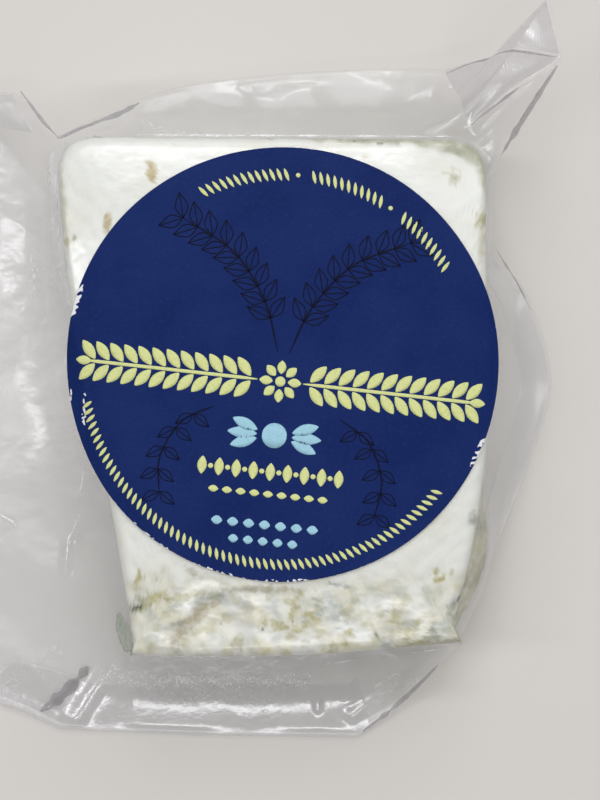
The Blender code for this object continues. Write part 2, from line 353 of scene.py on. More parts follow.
def crown_height(x, y):
    """Height of the smooth crowned top: the middle height, less a fourth-power fall to the edge."""
    share = np.hypot(x, y) / np.interp(np.arctan2(y, x), *crown_radius_table())
    return MIDDLE_HEIGHT - (MIDDLE_HEIGHT - EDGE_HEIGHT) * share ** CROWN_POWER


def curd_relief(x, y):
    """Dents and bumps: a sum of bell shapes."""
    height = np.zeros_like(x)
    for middle_x, middle_y, reach, amount in CURD_RELIEF:
        height += amount * np.exp(-(np.hypot(x - middle_x, y - middle_y) / reach) ** 2)
    return height


def label_height(x, y):
    """Height of the film under the label, carried on past the block's edges as the paper is."""
    overhang = np.maximum(0.0, np.hypot(x, y) - block_radius(np.arctan2(y, x)))
    return crown_height(x, y) - LABEL_OVERHANG_FALL * overhang


def spaced_points(controls, smooth, spacing):
    """Points along the controls without the last one: a Catmull-Rom curve, or straight pieces."""
    controls = np.array(controls)
    before = np.vstack((2 * controls[0] - controls[1], controls[:-2]))
    after = np.vstack((controls[2:], 2 * controls[-1] - controls[-2]))
    points = []
    for p0, p1, p2, p3 in zip(before, controls[:-1], controls[1:], after):
        count = max(2, round(np.linalg.norm(p2 - p1) / spacing))
        t = (np.arange(count) / count)[:, None]
        if smooth:
            points.append(0.5 * (2 * p1 + (p2 - p0) * t + (2 * p0 - 5 * p1 + 4 * p2 - p3) * t ** 2
                                 + (3 * p1 - p0 - 3 * p2 + p3) * t ** 3))
        else:
            points.append(p1 + (p2 - p1) * t)
    return np.vstack(points)


def smooth_line(controls, spacing=0.0003):
    """A Catmull-Rom curve through the controls, with its last point."""
    return np.vstack((spaced_points(controls, True, spacing), controls[-1]))


def blur_round(values, reach, spacing):
    """Averages values along a closed line with a bell-shaped weight of the given reach."""
    half = int(3 * reach / spacing)
    weight = np.exp(-0.5 * (np.arange(-half, half + 1) * spacing / reach) ** 2)
    padded = np.concatenate((values[-half:], values, values[:half]))
    return np.convolve(padded, weight / weight.sum(), "valid")


@functools.cache
def skirt_table():
    """The pouch's edge and the foot from which each of its points hangs, at close steps.

    Along a plain run the sheet hangs radially. The raised corner and the wing are gathered: their
    points share out the bearings between the ends of the run evenly. Returns the distance along
    the edge, a row for each value, and the distance at which each run starts.
    """
    runs = [
        (RIGHT_SEAM, True, False, SHOULDER_HEIGHT), (RAISED_CORNER, False, True, CORNER_SHOULDER_HEIGHT),
        (TOP_SKIRT, True, False, SHOULDER_HEIGHT), (WING, False, True, SHOULDER_HEIGHT),
        (MOUTH, True, False, SHOULDER_HEIGHT), (BOTTOM_SEAM, False, False, SHOULDER_HEIGHT),
    ]
    columns, counts = [], []
    for controls, smooth, gathered, shoulder in runs:
        points = spaced_points(controls, smooth, TABLE_SPACING)
        bearing = np.arctan2(points[:, 1], points[:, 0])
        if gathered:
            step = np.linalg.norm(np.diff(points, axis=0, append=[controls[-1]]), axis=1)
            share = np.concatenate(([0.0], np.cumsum(step)[:-1])) / step.sum()
            first, last = (math.atan2(end[1], end[0]) % math.tau for end in (controls[0], controls[-1]))
            bearing = first + share * (last - first)
        reach = np.linalg.norm(points[:, :2], axis=1) - block_radius(bearing)
        fall = np.maximum(1.0, reach / SKIRT_REACH)
        if shoulder > SHOULDER_HEIGHT:
            fall = np.ones(len(points))
        columns.append(np.column_stack((points, bearing, np.full(len(points), shoulder), fall)))
        counts.append(len(points))
    edge_x, edge_y, edge_z, bearing, shoulder, fall = np.vstack(columns).T
    shoulder = blur_round(shoulder, SHOULDER_BLUR, TABLE_SPACING)
    fall = blur_round(fall, SHOULDER_BLUR, TABLE_SPACING)
    flat = block_radius(bearing) - TOP_ROUNDING
    aim_x, aim_y = np.cos(bearing), np.sin(bearing)
    rim = crown_height(aim_x * flat, aim_y * flat) + curd_relief(aim_x * flat, aim_y * flat)
    foot = block_radius(bearing) + side_lean(bearing)
    leave = np.minimum(shoulder, rim - TOP_ROUNDING - FOOT_BELOW_RIM)
    step = np.hypot(np.diff(edge_x, append=edge_x[:1]), np.diff(edge_y, append=edge_y[:1]))
    along = np.concatenate(([0.0], np.cumsum(step)))
    values = np.vstack((edge_x, edge_y, edge_z, aim_x, aim_y, flat, rim, foot, leave, fall))
    starts = along[np.concatenate(([0], np.cumsum(counts)))]
    return along, np.column_stack((values, values[:, :1])), starts


def skirt_at(distance):
    """The values of skirt_table at each distance along the edge."""
    along, values, _ = skirt_table()
    wrapped = distance % along[-1]
    return [np.interp(wrapped, along, row) for row in values]


def top_sheet(distance, share, wave_height, half_gap):
    """Points of the upper sheet of the skirt, from its foot on the block (share 0) to its edge (1).

    The height falls from where the film leaves the block to the edge by a power of what is left.
    Soft waves, highest beyond the block's wide end, and the folds are added to it. They die out at
    the foot and the edge.
    """
    edge_x, edge_y, edge_z, aim_x, aim_y, _, _, foot, leave, fall = skirt_at(distance)
    x = foot * aim_x + (edge_x - foot * aim_x) * share
    y = foot * aim_y + (edge_y - foot * aim_y) * share
    low = edge_z + half_gap
    z = low + (leave - low) * (1 - share) ** fall
    wide_end = smooth_step((y - 0.040) / 0.010) * smooth_step((x + 0.045) / 0.010)
    broad = waves(x, y, 0.0200, seed=3, stretch=1.6, turn=math.radians(-40))
    middle = waves(x, y, 0.0110, seed=6, stretch=1.8, turn=math.radians(-35))
    inner = smooth_step(share / 0.25) * smooth_step((1 - share) / 0.12)
    amount = 0.45 * np.clip(1 + broad, 0, 2) + 0.70 * wide_end * np.clip(0.6 + middle, 0, 2)
    z = z + wave_height * inner * amount
    for points, width, height in SKIRT_FOLDS:
        z = z + height * inner * np.exp(-(line_distance(x, y, points) / width) ** 2)
    return x, y, z


def bottom_sheet(distance, share, half_gap):
    """Points of the lower sheet of the skirt, which rises from the block's base to the edge."""
    edge_x, edge_y, edge_z, aim_x, aim_y, _, _, foot, _, _ = skirt_at(distance)
    x = foot * aim_x + (edge_x - foot * aim_x) * share
    y = foot * aim_y + (edge_y - foot * aim_y) * share
    z = BASE_ROUNDING + (edge_z - half_gap - BASE_ROUNDING) * (1 - (1 - share) ** 2)
    return x, y, z


@functools.cache
def film_raster(wave_height, half_gap):
    """Heights of the pouch's upper side over a plan grid, and the grid's first corner.

    The skirt's points are averaged in the cells, the block's rounded top fills the middle, and
    the few cells that are left take the mean of their neighbours.
    """
    distance, share = np.meshgrid(np.linspace(0, skirt_table()[0][-1], 3200), np.linspace(0, 1, 150))
    x, y, z = (part.ravel() for part in top_sheet(distance, share, wave_height, half_gap))
    low = np.array((x.min(), y.min())) - 2 * RASTER_CELL
    columns, rows = (int(size / RASTER_CELL) + 5 for size in (x.max() - low[0], y.max() - low[1]))
    cell = ((y - low[1]) / RASTER_CELL).astype(int) * columns + ((x - low[0]) / RASTER_CELL).astype(int)
    count = np.bincount(cell, minlength=rows * columns)
    total = np.bincount(cell, z, rows * columns)
    height = np.where(count > 0, total / np.maximum(count, 1), np.nan).reshape(rows, columns)
    grid_x, grid_y = np.meshgrid(low[0] + (np.arange(columns) + 0.5) * RASTER_CELL,
                                 low[1] + (np.arange(rows) + 0.5) * RASTER_CELL)
    bearing, reach = np.arctan2(grid_y, grid_x), np.hypot(grid_x, grid_y)
    radius = block_radius(bearing)
    flat = radius - TOP_ROUNDING
    inside = np.minimum(reach, flat)
    face_x, face_y = inside * np.cos(bearing), inside * np.sin(bearing)
    past = np.clip(reach - flat, 0, TOP_ROUNDING)
    block = crown_height(face_x, face_y) + curd_relief(face_x, face_y)
    block = block - TOP_ROUNDING + np.sqrt(TOP_ROUNDING ** 2 - past ** 2)
    height = np.where(reach < radius, block, height)
    for _ in range(12):
        shifted = [np.roll(height, step, axis) for step in (-1, 1) for axis in (0, 1)]
        known = sum(~np.isnan(part) for part in shifted)
        mean = sum(np.nan_to_num(part) for part in shifted) / np.maximum(known, 1)
        height = np.where(np.isnan(height) & (known > 0), mean, height)
    return np.nan_to_num(height), low


def film_height(x, y):
    """Height of the pouch's upper side at each place, from its raster."""
    settings = bpy.context.scene.pack_pouch
    height, low = film_raster(settings.wave_height, settings.sheet_gap / 2)
    column = np.clip((x - low[0]) / RASTER_CELL - 0.5, 0, height.shape[1] - 1.001)
    row = np.clip((y - low[1]) / RASTER_CELL - 0.5, 0, height.shape[0] - 1.001)
    c, r = column.astype(int), row.astype(int)
    u, v = column - c, row - r
    return ((1 - v) * ((1 - u) * height[r, c] + u * height[r, c + 1])
            + v * ((1 - u) * height[r + 1, c] + u * height[r + 1, c + 1]))


def print_height(x, y):
    """Height of the label's printed face."""
    return label_height(x, y) + PRINTED_LIFT


# Meshes


def frame_shift():
    """Where the layout's zero lies in the frame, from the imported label's middle."""
    low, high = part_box("round_label")
    return np.array(((low.x + high.x) / 2 - LABEL_MIDDLE[0], (low.y + high.y) / 2 - LABEL_MIDDLE[1], 0.0))


def grid_quads(rows, columns):
    """Corner numbers of the quads between closed rings whose points are numbered ring by ring."""
    row = np.arange(rows - 1)[:, None]
    column = np.arange(columns)[None, :]
    ahead = (column + 1) % columns
    corners = (row * columns + column, (row + 1) * columns + column,
               (row + 1) * columns + ahead, row * columns + ahead)
    return np.stack([np.broadcast_to(c, (rows - 1, columns)).ravel() for c in corners], axis=1)


def shell_of_rings(rings, first_pole, last_pole):
    """Points, quads and triangles of closed rings joined in order, with a pole at each end."""
    rows, columns = rings.shape[:2]
    points = np.vstack((rings.reshape(-1, 3), first_pole, last_pole))
    ring = np.arange(columns)
    ahead = np.roll(ring, -1)
    last = (rows - 1) * columns
    first_fan = np.column_stack((np.full(columns, rows * columns), ring, ahead))
    last_fan = np.column_stack((np.full(columns, rows * columns + 1), last + ahead, last + ring))
    return points, grid_quads(rows, columns), np.vstack((first_fan, last_fan))


def shell_of_sheets(upper, lower):
    """A closed shell between two grids of points, with its ends closed to poles."""
    rings = np.concatenate((upper, lower[:, ::-1]), axis=1)
    return shell_of_rings(rings, rings[0].mean(axis=0), rings[-1].mean(axis=0))


def join_shells(shells):
    """One set of points, quads and triangles from several."""
    points, quads, triangles, count = [], [], [], 0
    for shell_points, shell_quads, shell_triangles in shells:
        points.append(shell_points)
        quads.append(shell_quads + count)
        triangles.append(shell_triangles + count)
        count += len(shell_points)
    return np.vstack(points), np.vstack(quads), np.vstack(triangles)


def outward(shell):
    """The shell with its faces turned outwards, by the sign of the volume that they enclose."""
    points, quads, triangles = shell
    halves = np.vstack((quads[:, (0, 1, 2)], quads[:, (0, 2, 3)], triangles))
    centred = points - points.mean(axis=0)
    a, b, c = (centred[halves[:, k]] for k in range(3))
    if np.einsum("ij,ij->i", a, np.cross(b, c)).sum() < 0:
        quads, triangles = quads[:, ::-1], triangles[:, ::-1]
    return points, quads, triangles


def make_piece(name, shells, material, masks=None):
    """A smooth mesh object of closed shells that rides on the pack, with its place in its mesh."""
    points, quads, triangles = join_shells([outward(shell) for shell in shells])
    corners = np.concatenate((quads.ravel(), triangles.ravel())).astype(np.int32)
    sizes = np.concatenate((np.full(len(quads), 4), np.full(len(triangles), 3)))
    starts = np.concatenate(([0], np.cumsum(sizes)[:-1])).astype(np.int32)
    mesh = bpy.data.meshes.new(name)
    mesh.vertices.add(len(points))
    mesh.vertices.foreach_set("co", (points + frame_shift()).astype(np.float32).ravel())
    mesh.loops.add(len(corners))
    mesh.loops.foreach_set("vertex_index", corners)
    mesh.polygons.add(len(starts))
    mesh.polygons.foreach_set("loop_start", starts)
    mesh.update(calc_edges=True)
    mesh.validate()
    mesh.shade_smooth()
    for label, values in (masks or {}).items():
        attribute = mesh.attributes.new(label, "FLOAT", "POINT")
        attribute.data.foreach_set("value", values.astype(np.float32))
    mesh.materials.append(material)
    piece = bpy.data.objects.new(name, mesh)
    bpy.context.scene.collection.objects.link(piece)
    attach(piece, "root")
    return piece


def ribbon(path, half_width, height_at, rise, thickness, across=5, crown=0.0):
    """A thin closed strip that follows a path in plan and lies on a height function.

    Each cross-section is a flat loop: points on the upper face, which may be crowned, and as many
    on the lower. The strip closes to a pole at each end of the path.
    """
    path = np.asarray(path, float)
    half_width = np.broadcast_to(half_width, len(path))
    forward = np.gradient(path, axis=0)
    forward /= np.linalg.norm(forward, axis=1)[:, None]
    aside = np.column_stack((-forward[:, 1], forward[:, 0]))
    offset = np.linspace(-1, 1, across)
    plan = path[:, None, :] + aside[:, None, :] * (half_width[:, None] * offset)[..., None]
    base = height_at(plan[..., 0], plan[..., 1]) + rise
    upper = np.dstack((plan, base + thickness + crown * (1 - offset ** 2)))
    lower = np.dstack((plan, base))
    return shell_of_sheets(upper, lower)


# Print shapes: each gives a path and its half widths, in the label's own plane


def leaf(start, end, half_width, steps=9):
    """A lens-shaped leaf: its half width follows the square root of a sine along the line."""
    share = 0.5 - 0.5 * np.cos(np.linspace(0.08, 1.0 - 0.08, steps) * math.pi)
    path = np.asarray(start) + (np.asarray(end) - np.asarray(start)) * share[:, None]
    return path, half_width * np.sin(share * math.pi) ** 0.8


def disc(middle, radius, steps=9):
    """A round dot: its half width follows a circle along its diameter."""
    offset = -np.cos(np.linspace(0.06, 0.94, steps) * math.pi) * radius
    path = np.column_stack((middle[0] + offset, np.full(steps, middle[1])))
    return path, np.sqrt(radius ** 2 - offset ** 2)


def stroke(controls, half_width, spacing=0.0006):
    """A line of even width through the controls, tapered over its ends."""
    path = smooth_line(controls, spacing)
    share = np.linspace(0, 1, len(path))
    return path, half_width * np.clip(np.minimum(share, 1 - share) * 8 + 0.3, 0, 1)


def leaf_outline(start, end, half_width, line_width):
    """Two bowed lines that draw a leaf's outline, and its middle vein."""
    start, end = np.asarray(start, float), np.asarray(end, float)
    along = end - start
    aside = np.array((-along[1], along[0])) / np.linalg.norm(along) * half_width
    lines = []
    for side in (-1, 0, 1):
        bow = start + along * 0.45 + side * aside
        lines.append(stroke([start, bow, end], line_width, 0.0005))
    return lines


# Materials


def new_material(name):
    """An empty node material and its tree."""
    material = bpy.data.materials.new(name)
    material.use_nodes = True
    material.node_tree.nodes.clear()
    return material, material.node_tree


def add_node(tree, kind, inputs=None, **settings):
    """Adds a node, with values or links for its inputs and values for its settings."""
    node = tree.nodes.new("ShaderNode" + kind)
    for key, value in settings.items():
        setattr(node, key, value)
    for key, value in (inputs or {}).items():
        if isinstance(value, bpy.types.NodeSocket):
            tree.links.new(value, node.inputs[key])
        else:
            node.inputs[key].default_value = value
    return node


def finish_material(tree, shader):
    """Links a shader's output to the material's surface."""
    add_node(tree, "OutputMaterial", {"Surface": shader.outputs[0]})


def noise(tree, scale, detail=3.0, roughness=0.55):
    """A noise texture's value over the piece's own coordinates."""
    own = add_node(tree, "TexCoord").outputs["Object"]
    inputs = {"Vector": own, "Scale": scale, "Detail": detail, "Roughness": roughness}
    return add_node(tree, "TexNoise", inputs).outputs["Fac"]


def spread(tree, value, low, high, to_low=0.0, to_high=1.0):
    """Maps a value from one range to another, clamped."""
    inputs = {"Value": value, "From Min": low, "From Max": high, "To Min": to_low, "To Max": to_high}
    return add_node(tree, "MapRange", inputs).outputs["Result"]


def times(tree, a, b):
    """The product of two values."""
    return add_node(tree, "Math", {0: a, 1: b}, operation="MULTIPLY").outputs[0]


def plus(tree, a, b):
    """The sum of two values."""
    return add_node(tree, "Math", {0: a, 1: b}, operation="ADD").outputs[0]


def blend_colour(tree, share, first, second):
    """A mix of two colours."""
    return add_node(tree, "Mix", {0: share, 6: first, 7: second}, data_type="RGBA").outputs[2]


def mask(tree, label):
    """A mask stored on the mesh's points."""
    return add_node(tree, "Attribute", attribute_name=label).outputs["Fac"]


def bump(tree, height, strength, distance):
    """A normal bent by a height texture."""
    inputs = {"Height": height, "Strength": strength, "Distance": distance}
    return add_node(tree, "Bump", inputs).outputs["Normal"]


def cheese_material(settings):
    """Moist white curd with creamy mottling, olive and blue-grey veins, mould and ochre spots, and painted brownish
    shade in its hollows and under the label's edge.
    """
    material, tree = new_material("goat_cheese_paste")
    broad = noise(tree, 110.0, 4.0)
    small = noise(tree, 560.0, 4.0, 0.6)
    grain = noise(tree, 2200.0, 3.0, 0.6)
    faint = spread(tree, broad, 0.50, 0.74, 0.0, 0.30)
    colour = blend_colour(tree, faint, settings.paste_colour, settings.cream_colour)
    ragged = spread(tree, small, 0.32, 0.60, 0.50, 1.15)
    # The hollow mask paints shade into the curd's hollows and a shadow just below the label's edge.
    for label, tone in (("creamy", settings.cream_colour), ("hollow_shade", settings.hollow_shade_colour),
                        ("blue", settings.blue_colour), ("olive", settings.olive_colour),
                        ("ochre", settings.ochre_colour), ("mould", settings.mould_colour)):
        colour = blend_colour(tree, times(tree, mask(tree, label), ragged), colour, tone)
    pale = spread(tree, grain, 0.55, 0.75, 0.0, 0.12)
    colour = blend_colour(tree, pale, colour, (0.86, 0.87, 0.84, 1.0))
    height = plus(tree, times(tree, small, 0.7), times(tree, grain, 0.3))
    shader = add_node(tree, "BsdfPrincipled", {
        "Base Color": colour, "Roughness": 0.5, "Specular IOR Level": 0.3, "Subsurface Weight": 0.2,
        "Subsurface Radius": (1.0, 0.9, 0.65), "Subsurface Scale": 0.0012,
        "Normal": bump(tree, height, 0.30, 0.0003)})
    finish_material(tree, shader)
    return material


def film_material(name, settings, tint, ripple_scale, ripple_depth, with_painted_glints=False):
    """Clear film: it lets light through with a faint tint and mirrors more at a slant.

    The mirror's share is Schlick's formula, a fifth power of the slant, the same from both sides.
    A faint white veil lies over all of it. Where the painted glint mask is set, rows of fine dots are
    frosted white, each to its own degree, as painted glints; where the mask haze is set the veil is denser.
    """
    material, tree = new_material(name)
    normal = bump(tree, noise(tree, ripple_scale, 2.0), 0.25, ripple_depth)
    slant = add_node(tree, "LayerWeight", {"Blend": 0.5, "Normal": normal}).outputs["Facing"]
    steep = add_node(tree, "Math", {0: slant, 1: 5.0}, operation="POWER").outputs[0]
    mirror = plus(tree, times(tree, steep, 0.8), settings.gloss)
    through = add_node(tree, "BsdfTransparent", {"Color": tuple(tint)})
    veil = add_node(tree, "BsdfPrincipled", {
        "Base Color": (0.90, 0.90, 0.92, 1.0), "Roughness": 0.45, "Specular IOR Level": 0.3})
    veil_share = settings.veil
    if with_painted_glints:
        own = add_node(tree, "TexCoord").outputs["Object"]
        cells = add_node(tree, "TexVoronoi", {"Vector": own, "Scale": 2300.0})
        dots = spread(tree, cells.outputs["Distance"], 0.28, 0.42, 1.0, 0.0)
        grade = spread(tree, cells.outputs["Color"], 0.30, 0.75, 0.0, 1.0)
        # Painted glints: frosted white dots over the knurled patches.
        painted_glints = times(tree, times(tree, dots, grade), mask(tree, "painted_glint"))
        veil_share = plus(tree, plus(tree, painted_glints, times(tree, mask(tree, "haze"), 0.5)), veil_share)
    through = add_node(tree, "MixShader", {0: veil_share, 1: through.outputs[0], 2: veil.outputs[0]})
    gloss = add_node(tree, "BsdfPrincipled", {
        "Base Color": (0.93, 0.94, 0.97, 1.0), "Metallic": 1.0, "Roughness": settings.roughness,
        "Normal": normal})
    shader = add_node(tree, "MixShader", {0: mirror, 1: through.outputs[0], 2: gloss.outputs[0]})
    finish_material(tree, shader)
    return material


def crease_highlight_material(settings):
    """A sharp crease in the film: whitened and glossy; its white is partly a painted highlight."""
    material, tree = new_material("film_crease_painted_highlight")
    uneven = spread(tree, noise(tree, 700.0, 2.0), 0.40, 0.62, 0.10, 0.80)
    through = add_node(tree, "BsdfTransparent", {"Color": tuple(settings.tint)})
    white = add_node(tree, "BsdfPrincipled", {"Base Color": (0.92, 0.92, 0.93, 1.0), "Roughness": 0.25})
    shader = add_node(tree, "MixShader", {0: uneven, 1: through.outputs[0], 2: white.outputs[0]})
    finish_material(tree, shader)
    return material


def shade_material():
    """Doubled film along a fold, seen edge-on, with the shadow beside the fold painted in: a clear grey band."""
    material, tree = new_material("film_fold_painted_shade")
    through = add_node(tree, "BsdfTransparent", {"Color": (0.80, 0.79, 0.80, 1.0)})
    gloss = add_node(tree, "BsdfPrincipled", {"Base Color": (0.60, 0.60, 0.62, 1.0), "Roughness": 0.2})
    uneven = spread(tree, noise(tree, 300.0, 2.0), 0.35, 0.70, 0.05, 0.30)
    shader = add_node(tree, "MixShader", {0: uneven, 1: through.outputs[0], 2: gloss.outputs[0]})
    finish_material(tree, shader)
    return material


def whey_material():
    """Cloudy greenish whey behind film."""
    material, tree = new_material("trapped_whey")
    cloudy = spread(tree, noise(tree, 420.0, 3.0), 0.35, 0.70, 0.25, 0.70)
    through = add_node(tree, "BsdfTransparent", {"Color": (0.90, 0.93, 0.88, 1.0)})
    body = add_node(tree, "BsdfPrincipled", {"Base Color": (0.52, 0.58, 0.50, 1.0), "Roughness": 0.12})
    shader = add_node(tree, "MixShader", {0: cloudy, 1: through.outputs[0], 2: body.outputs[0]})
    finish_material(tree, shader)
    return material


def paper_material(settings):
    """Navy satin paper with faint mottling, worn through to its white core along its rim."""
    material, tree = new_material("navy_label_paper")
    cloudy = noise(tree, 90.0, 4.0)
    fibre = noise(tree, 1500.0, 3.0, 0.65)
    tone = blend_colour(tree, spread(tree, cloudy, 0.35, 0.70), settings.paper_colour,
                        (0.0090, 0.0230, 0.1180, 1.0))
    tone = blend_colour(tree, spread(tree, fibre, 0.52, 0.80, 0.0, 0.16), tone, (0.045, 0.075, 0.20, 1.0))
    torn = spread(tree, plus(tree, mask(tree, "worn"), times(tree, fibre, 0.5)), 0.72, 0.86)
    tone = blend_colour(tree, torn, tone, settings.core_colour)
    shader = add_node(tree, "BsdfPrincipled", {
        "Base Color": tone, "Roughness": 0.5, "Specular IOR Level": 0.04,
        "Normal": bump(tree, fibre, 0.25, 0.00012)})
    finish_material(tree, shader)
    return material


def ink_material(name, colour, fade):
    """Printed ink with a slight unevenness."""
    material, tree = new_material(name)
    speck = noise(tree, 1900.0, 3.0, 0.6)
    thin = tuple(channel * fade for channel in colour[:3]) + (1.0,)
    tone = blend_colour(tree, spread(tree, speck, 0.50, 0.78), tuple(colour), thin)
    shader = add_node(tree, "BsdfPrincipled", {
        "Base Color": tone, "Roughness": 0.5, "Specular IOR Level": 0.10,
        "Normal": bump(tree, speck, 0.20, 0.0001)})
    finish_material(tree, shader)
    return material


# Cheese: middle, half sizes, turn in degrees and strength of each coloured patch

OLIVE_PATCHES = [
    ((-0.0238, -0.0303), (0.0006, 0.0012), -15, 0.85),
    ((-0.0212, -0.0339), (0.0024, 0.0009), 8, 0.90),
    ((-0.0160, -0.0336), (0.0038, 0.0008), 12, 0.55),
    ((-0.0228, -0.0352), (0.0014, 0.0006), 50, 0.80),
    ((-0.0134, -0.0397), (0.0016, 0.0007), 20, 0.50),
    ((0.0005, -0.0386), (0.0024, 0.0007), -12, 0.80),
    ((0.0036, -0.0352), (0.0006, 0.0030), -22, 0.60),
    ((0.0048, -0.0389), (0.0022, 0.0007), 8, 0.65),
    ((0.0066, -0.0374), (0.0016, 0.0008), -30, 0.60),
    ((0.0131, -0.0402), (0.0009, 0.0009), 0, 0.75),
    ((0.0104, -0.0428), (0.0009, 0.0015), 5, 0.70),
    ((0.0126, -0.0414), (0.0004, 0.0011), 10, 0.85),
    ((0.0214, -0.0378), (0.0010, 0.0022), 15, 0.65),
    ((0.0228, -0.0401), (0.0024, 0.0008), 8, 0.65),
    ((0.0255, -0.0382), (0.0007, 0.0016), -40, 0.65),
    ((0.0245, -0.0425), (0.0028, 0.0010), 12, 0.80),
    ((0.0287, -0.0299), (0.0007, 0.0011), 35, 0.80),
    ((0.0308, -0.0295), (0.0010, 0.0004), 15, 0.60),
    ((0.0318, 0.0402), (0.0011, 0.0013), 0, 0.50),
    ((0.0368, 0.0328), (0.0013, 0.0014), 0, 0.75),
    ((0.0366, 0.0290), (0.0010, 0.0030), 0, 0.35),
    ((-0.0363, 0.0291), (0.0011, 0.0007), 0, 0.55),
    ((-0.0372, 0.0355), (0.0007, 0.0062), 4, 0.28),
    ((-0.0170, 0.0455), (0.0010, 0.0006), 0, 0.20),
    ((-0.0200, -0.0298), (0.0014, 0.0007), 40, 0.30),
]
BLUE_PATCHES = [
    ((-0.0108, -0.0335), (0.0030, 0.0006), 18, 0.55),
    ((-0.0175, -0.0352), (0.0028, 0.0005), 35, 0.45),
    ((0.0112, -0.0315), (0.0019, 0.0003), -12, 0.85),
    ((0.0100, -0.0361), (0.0034, 0.0016), -15, 0.60),
    ((-0.0238, -0.0342), (0.0009, 0.0012), 30, 0.60),
    ((0.0200, -0.0425), (0.0012, 0.0008), -60, 0.60),
    ((0.0300, -0.0395), (0.0020, 0.0014), 20, 0.55),
    ((0.0180, -0.0340), (0.0030, 0.0010), 30, 0.22),
    ((0.0060, -0.0425), (0.0024, 0.0008), 0, 0.28),
]
MOULD_PATCHES = [
    ((-0.0353, 0.0292), (0.0005, 0.0004), 25, 0.95),
    ((-0.0376, 0.0270), (0.0003, 0.0004), 0, 0.60),
    ((0.0317, 0.0400), (0.0006, 0.0008), 0, 0.30),
    ((0.0372, 0.0330), (0.0004, 0.0006), 0, 0.25),
    ((0.0186, 0.0462), (0.0008, 0.0004), 0, 0.75),
    ((0.0216, 0.0459), (0.0005, 0.0003), 0, 0.60),
    ((0.0140, 0.0468), (0.0004, 0.0003), 0, 0.60),
    ((0.0117, 0.0470), (0.0003, 0.0003), 0, 0.55),
    ((-0.0006, 0.0470), (0.0004, 0.0002), 0, 0.45),
    ((-0.0245, -0.0359), (0.0009, 0.0004), 30, 0.95),
    ((-0.0205, -0.0306), (0.0002, 0.0002), 0, 0.85),
    ((-0.0093, -0.0386), (0.0003, 0.0003), 0, 0.90),
    ((-0.0020, -0.0393), (0.0002, 0.0003), 0, 0.85),
    ((0.0032, -0.0378), (0.0002, 0.0003), 0, 0.70),
    ((0.0180, -0.0404), (0.0003, 0.0009), 35, 0.65),
    ((0.0279, -0.0406), (0.0011, 0.0014), 0, 0.65),
    ((0.0312, -0.0355), (0.0006, 0.0016), -15, 0.65),
    ((0.0327, -0.0341), (0.0003, 0.0010), -35, 0.75),
    ((0.0350, -0.0198), (0.0008, 0.0012), -30, 0.55),
    ((0.0255, -0.0434), (0.0022, 0.0004), 12, 0.45),
]
OCHRE_PATCHES = [
    ((-0.0216, 0.0412), (0.0009, 0.0021), 8, 0.95),
    ((-0.0293, 0.0322), (0.0008, 0.0019), -10, 0.80),
    ((0.0158, 0.0437), (0.0006, 0.0003), 0, 0.60),
]
# Painted shade: brownish darker patches in the hollows of the broken end, and a painted shadow band just below the
# label's lower edge
HOLLOW_SHADE_PATCHES = [
    ((-0.0150, -0.0382), (0.0048, 0.0013), 38, 0.75),
    ((-0.0174, -0.0418), (0.0008, 0.0015), 0, 0.60),
    ((-0.0066, -0.0421), (0.0014, 0.0009), -30, 0.50),
    ((-0.0020, -0.0322), (0.0050, 0.0006), 0, 0.70),
    ((-0.0142, -0.0292), (0.0016, 0.0006), -28, 0.55),
]
# Inner edge of the greenish rind at the block's wide end
RIND_LINE = [
    (0.0374, 0.0355), (0.0365, 0.0390), (0.0352, 0.0413), (0.0337, 0.0426), (0.0306, 0.0438),
    (0.0273, 0.0449), (0.0239, 0.0455), (0.0150, 0.0457), (0.0080, 0.0462), (-0.0060, 0.0482),
]


def patch_mask(x, y, patches, seed, ragged, soft):
    """The strongest of soft-edged ovals, each with an uneven outline: up to 1 inside, 0 outside."""
    total = np.zeros_like(x)
    uneven = ragged * waves(x, y, 0.0016, seed) + 0.5 * ragged * waves(x, y, 0.0007, seed + 1)
    for middle, size, turn, strength in patches:
        angle = math.radians(turn)
        dx, dy = x - middle[0], y - middle[1]
        along = (dx * math.cos(angle) + dy * math.sin(angle)) / size[0]
        across = (-dx * math.sin(angle) + dy * math.cos(angle)) / size[1]
        shape = smooth_step((1 + soft / 2 - np.hypot(along, across) - uneven) / soft)
        total = np.maximum(total, strength * shape)
    return total


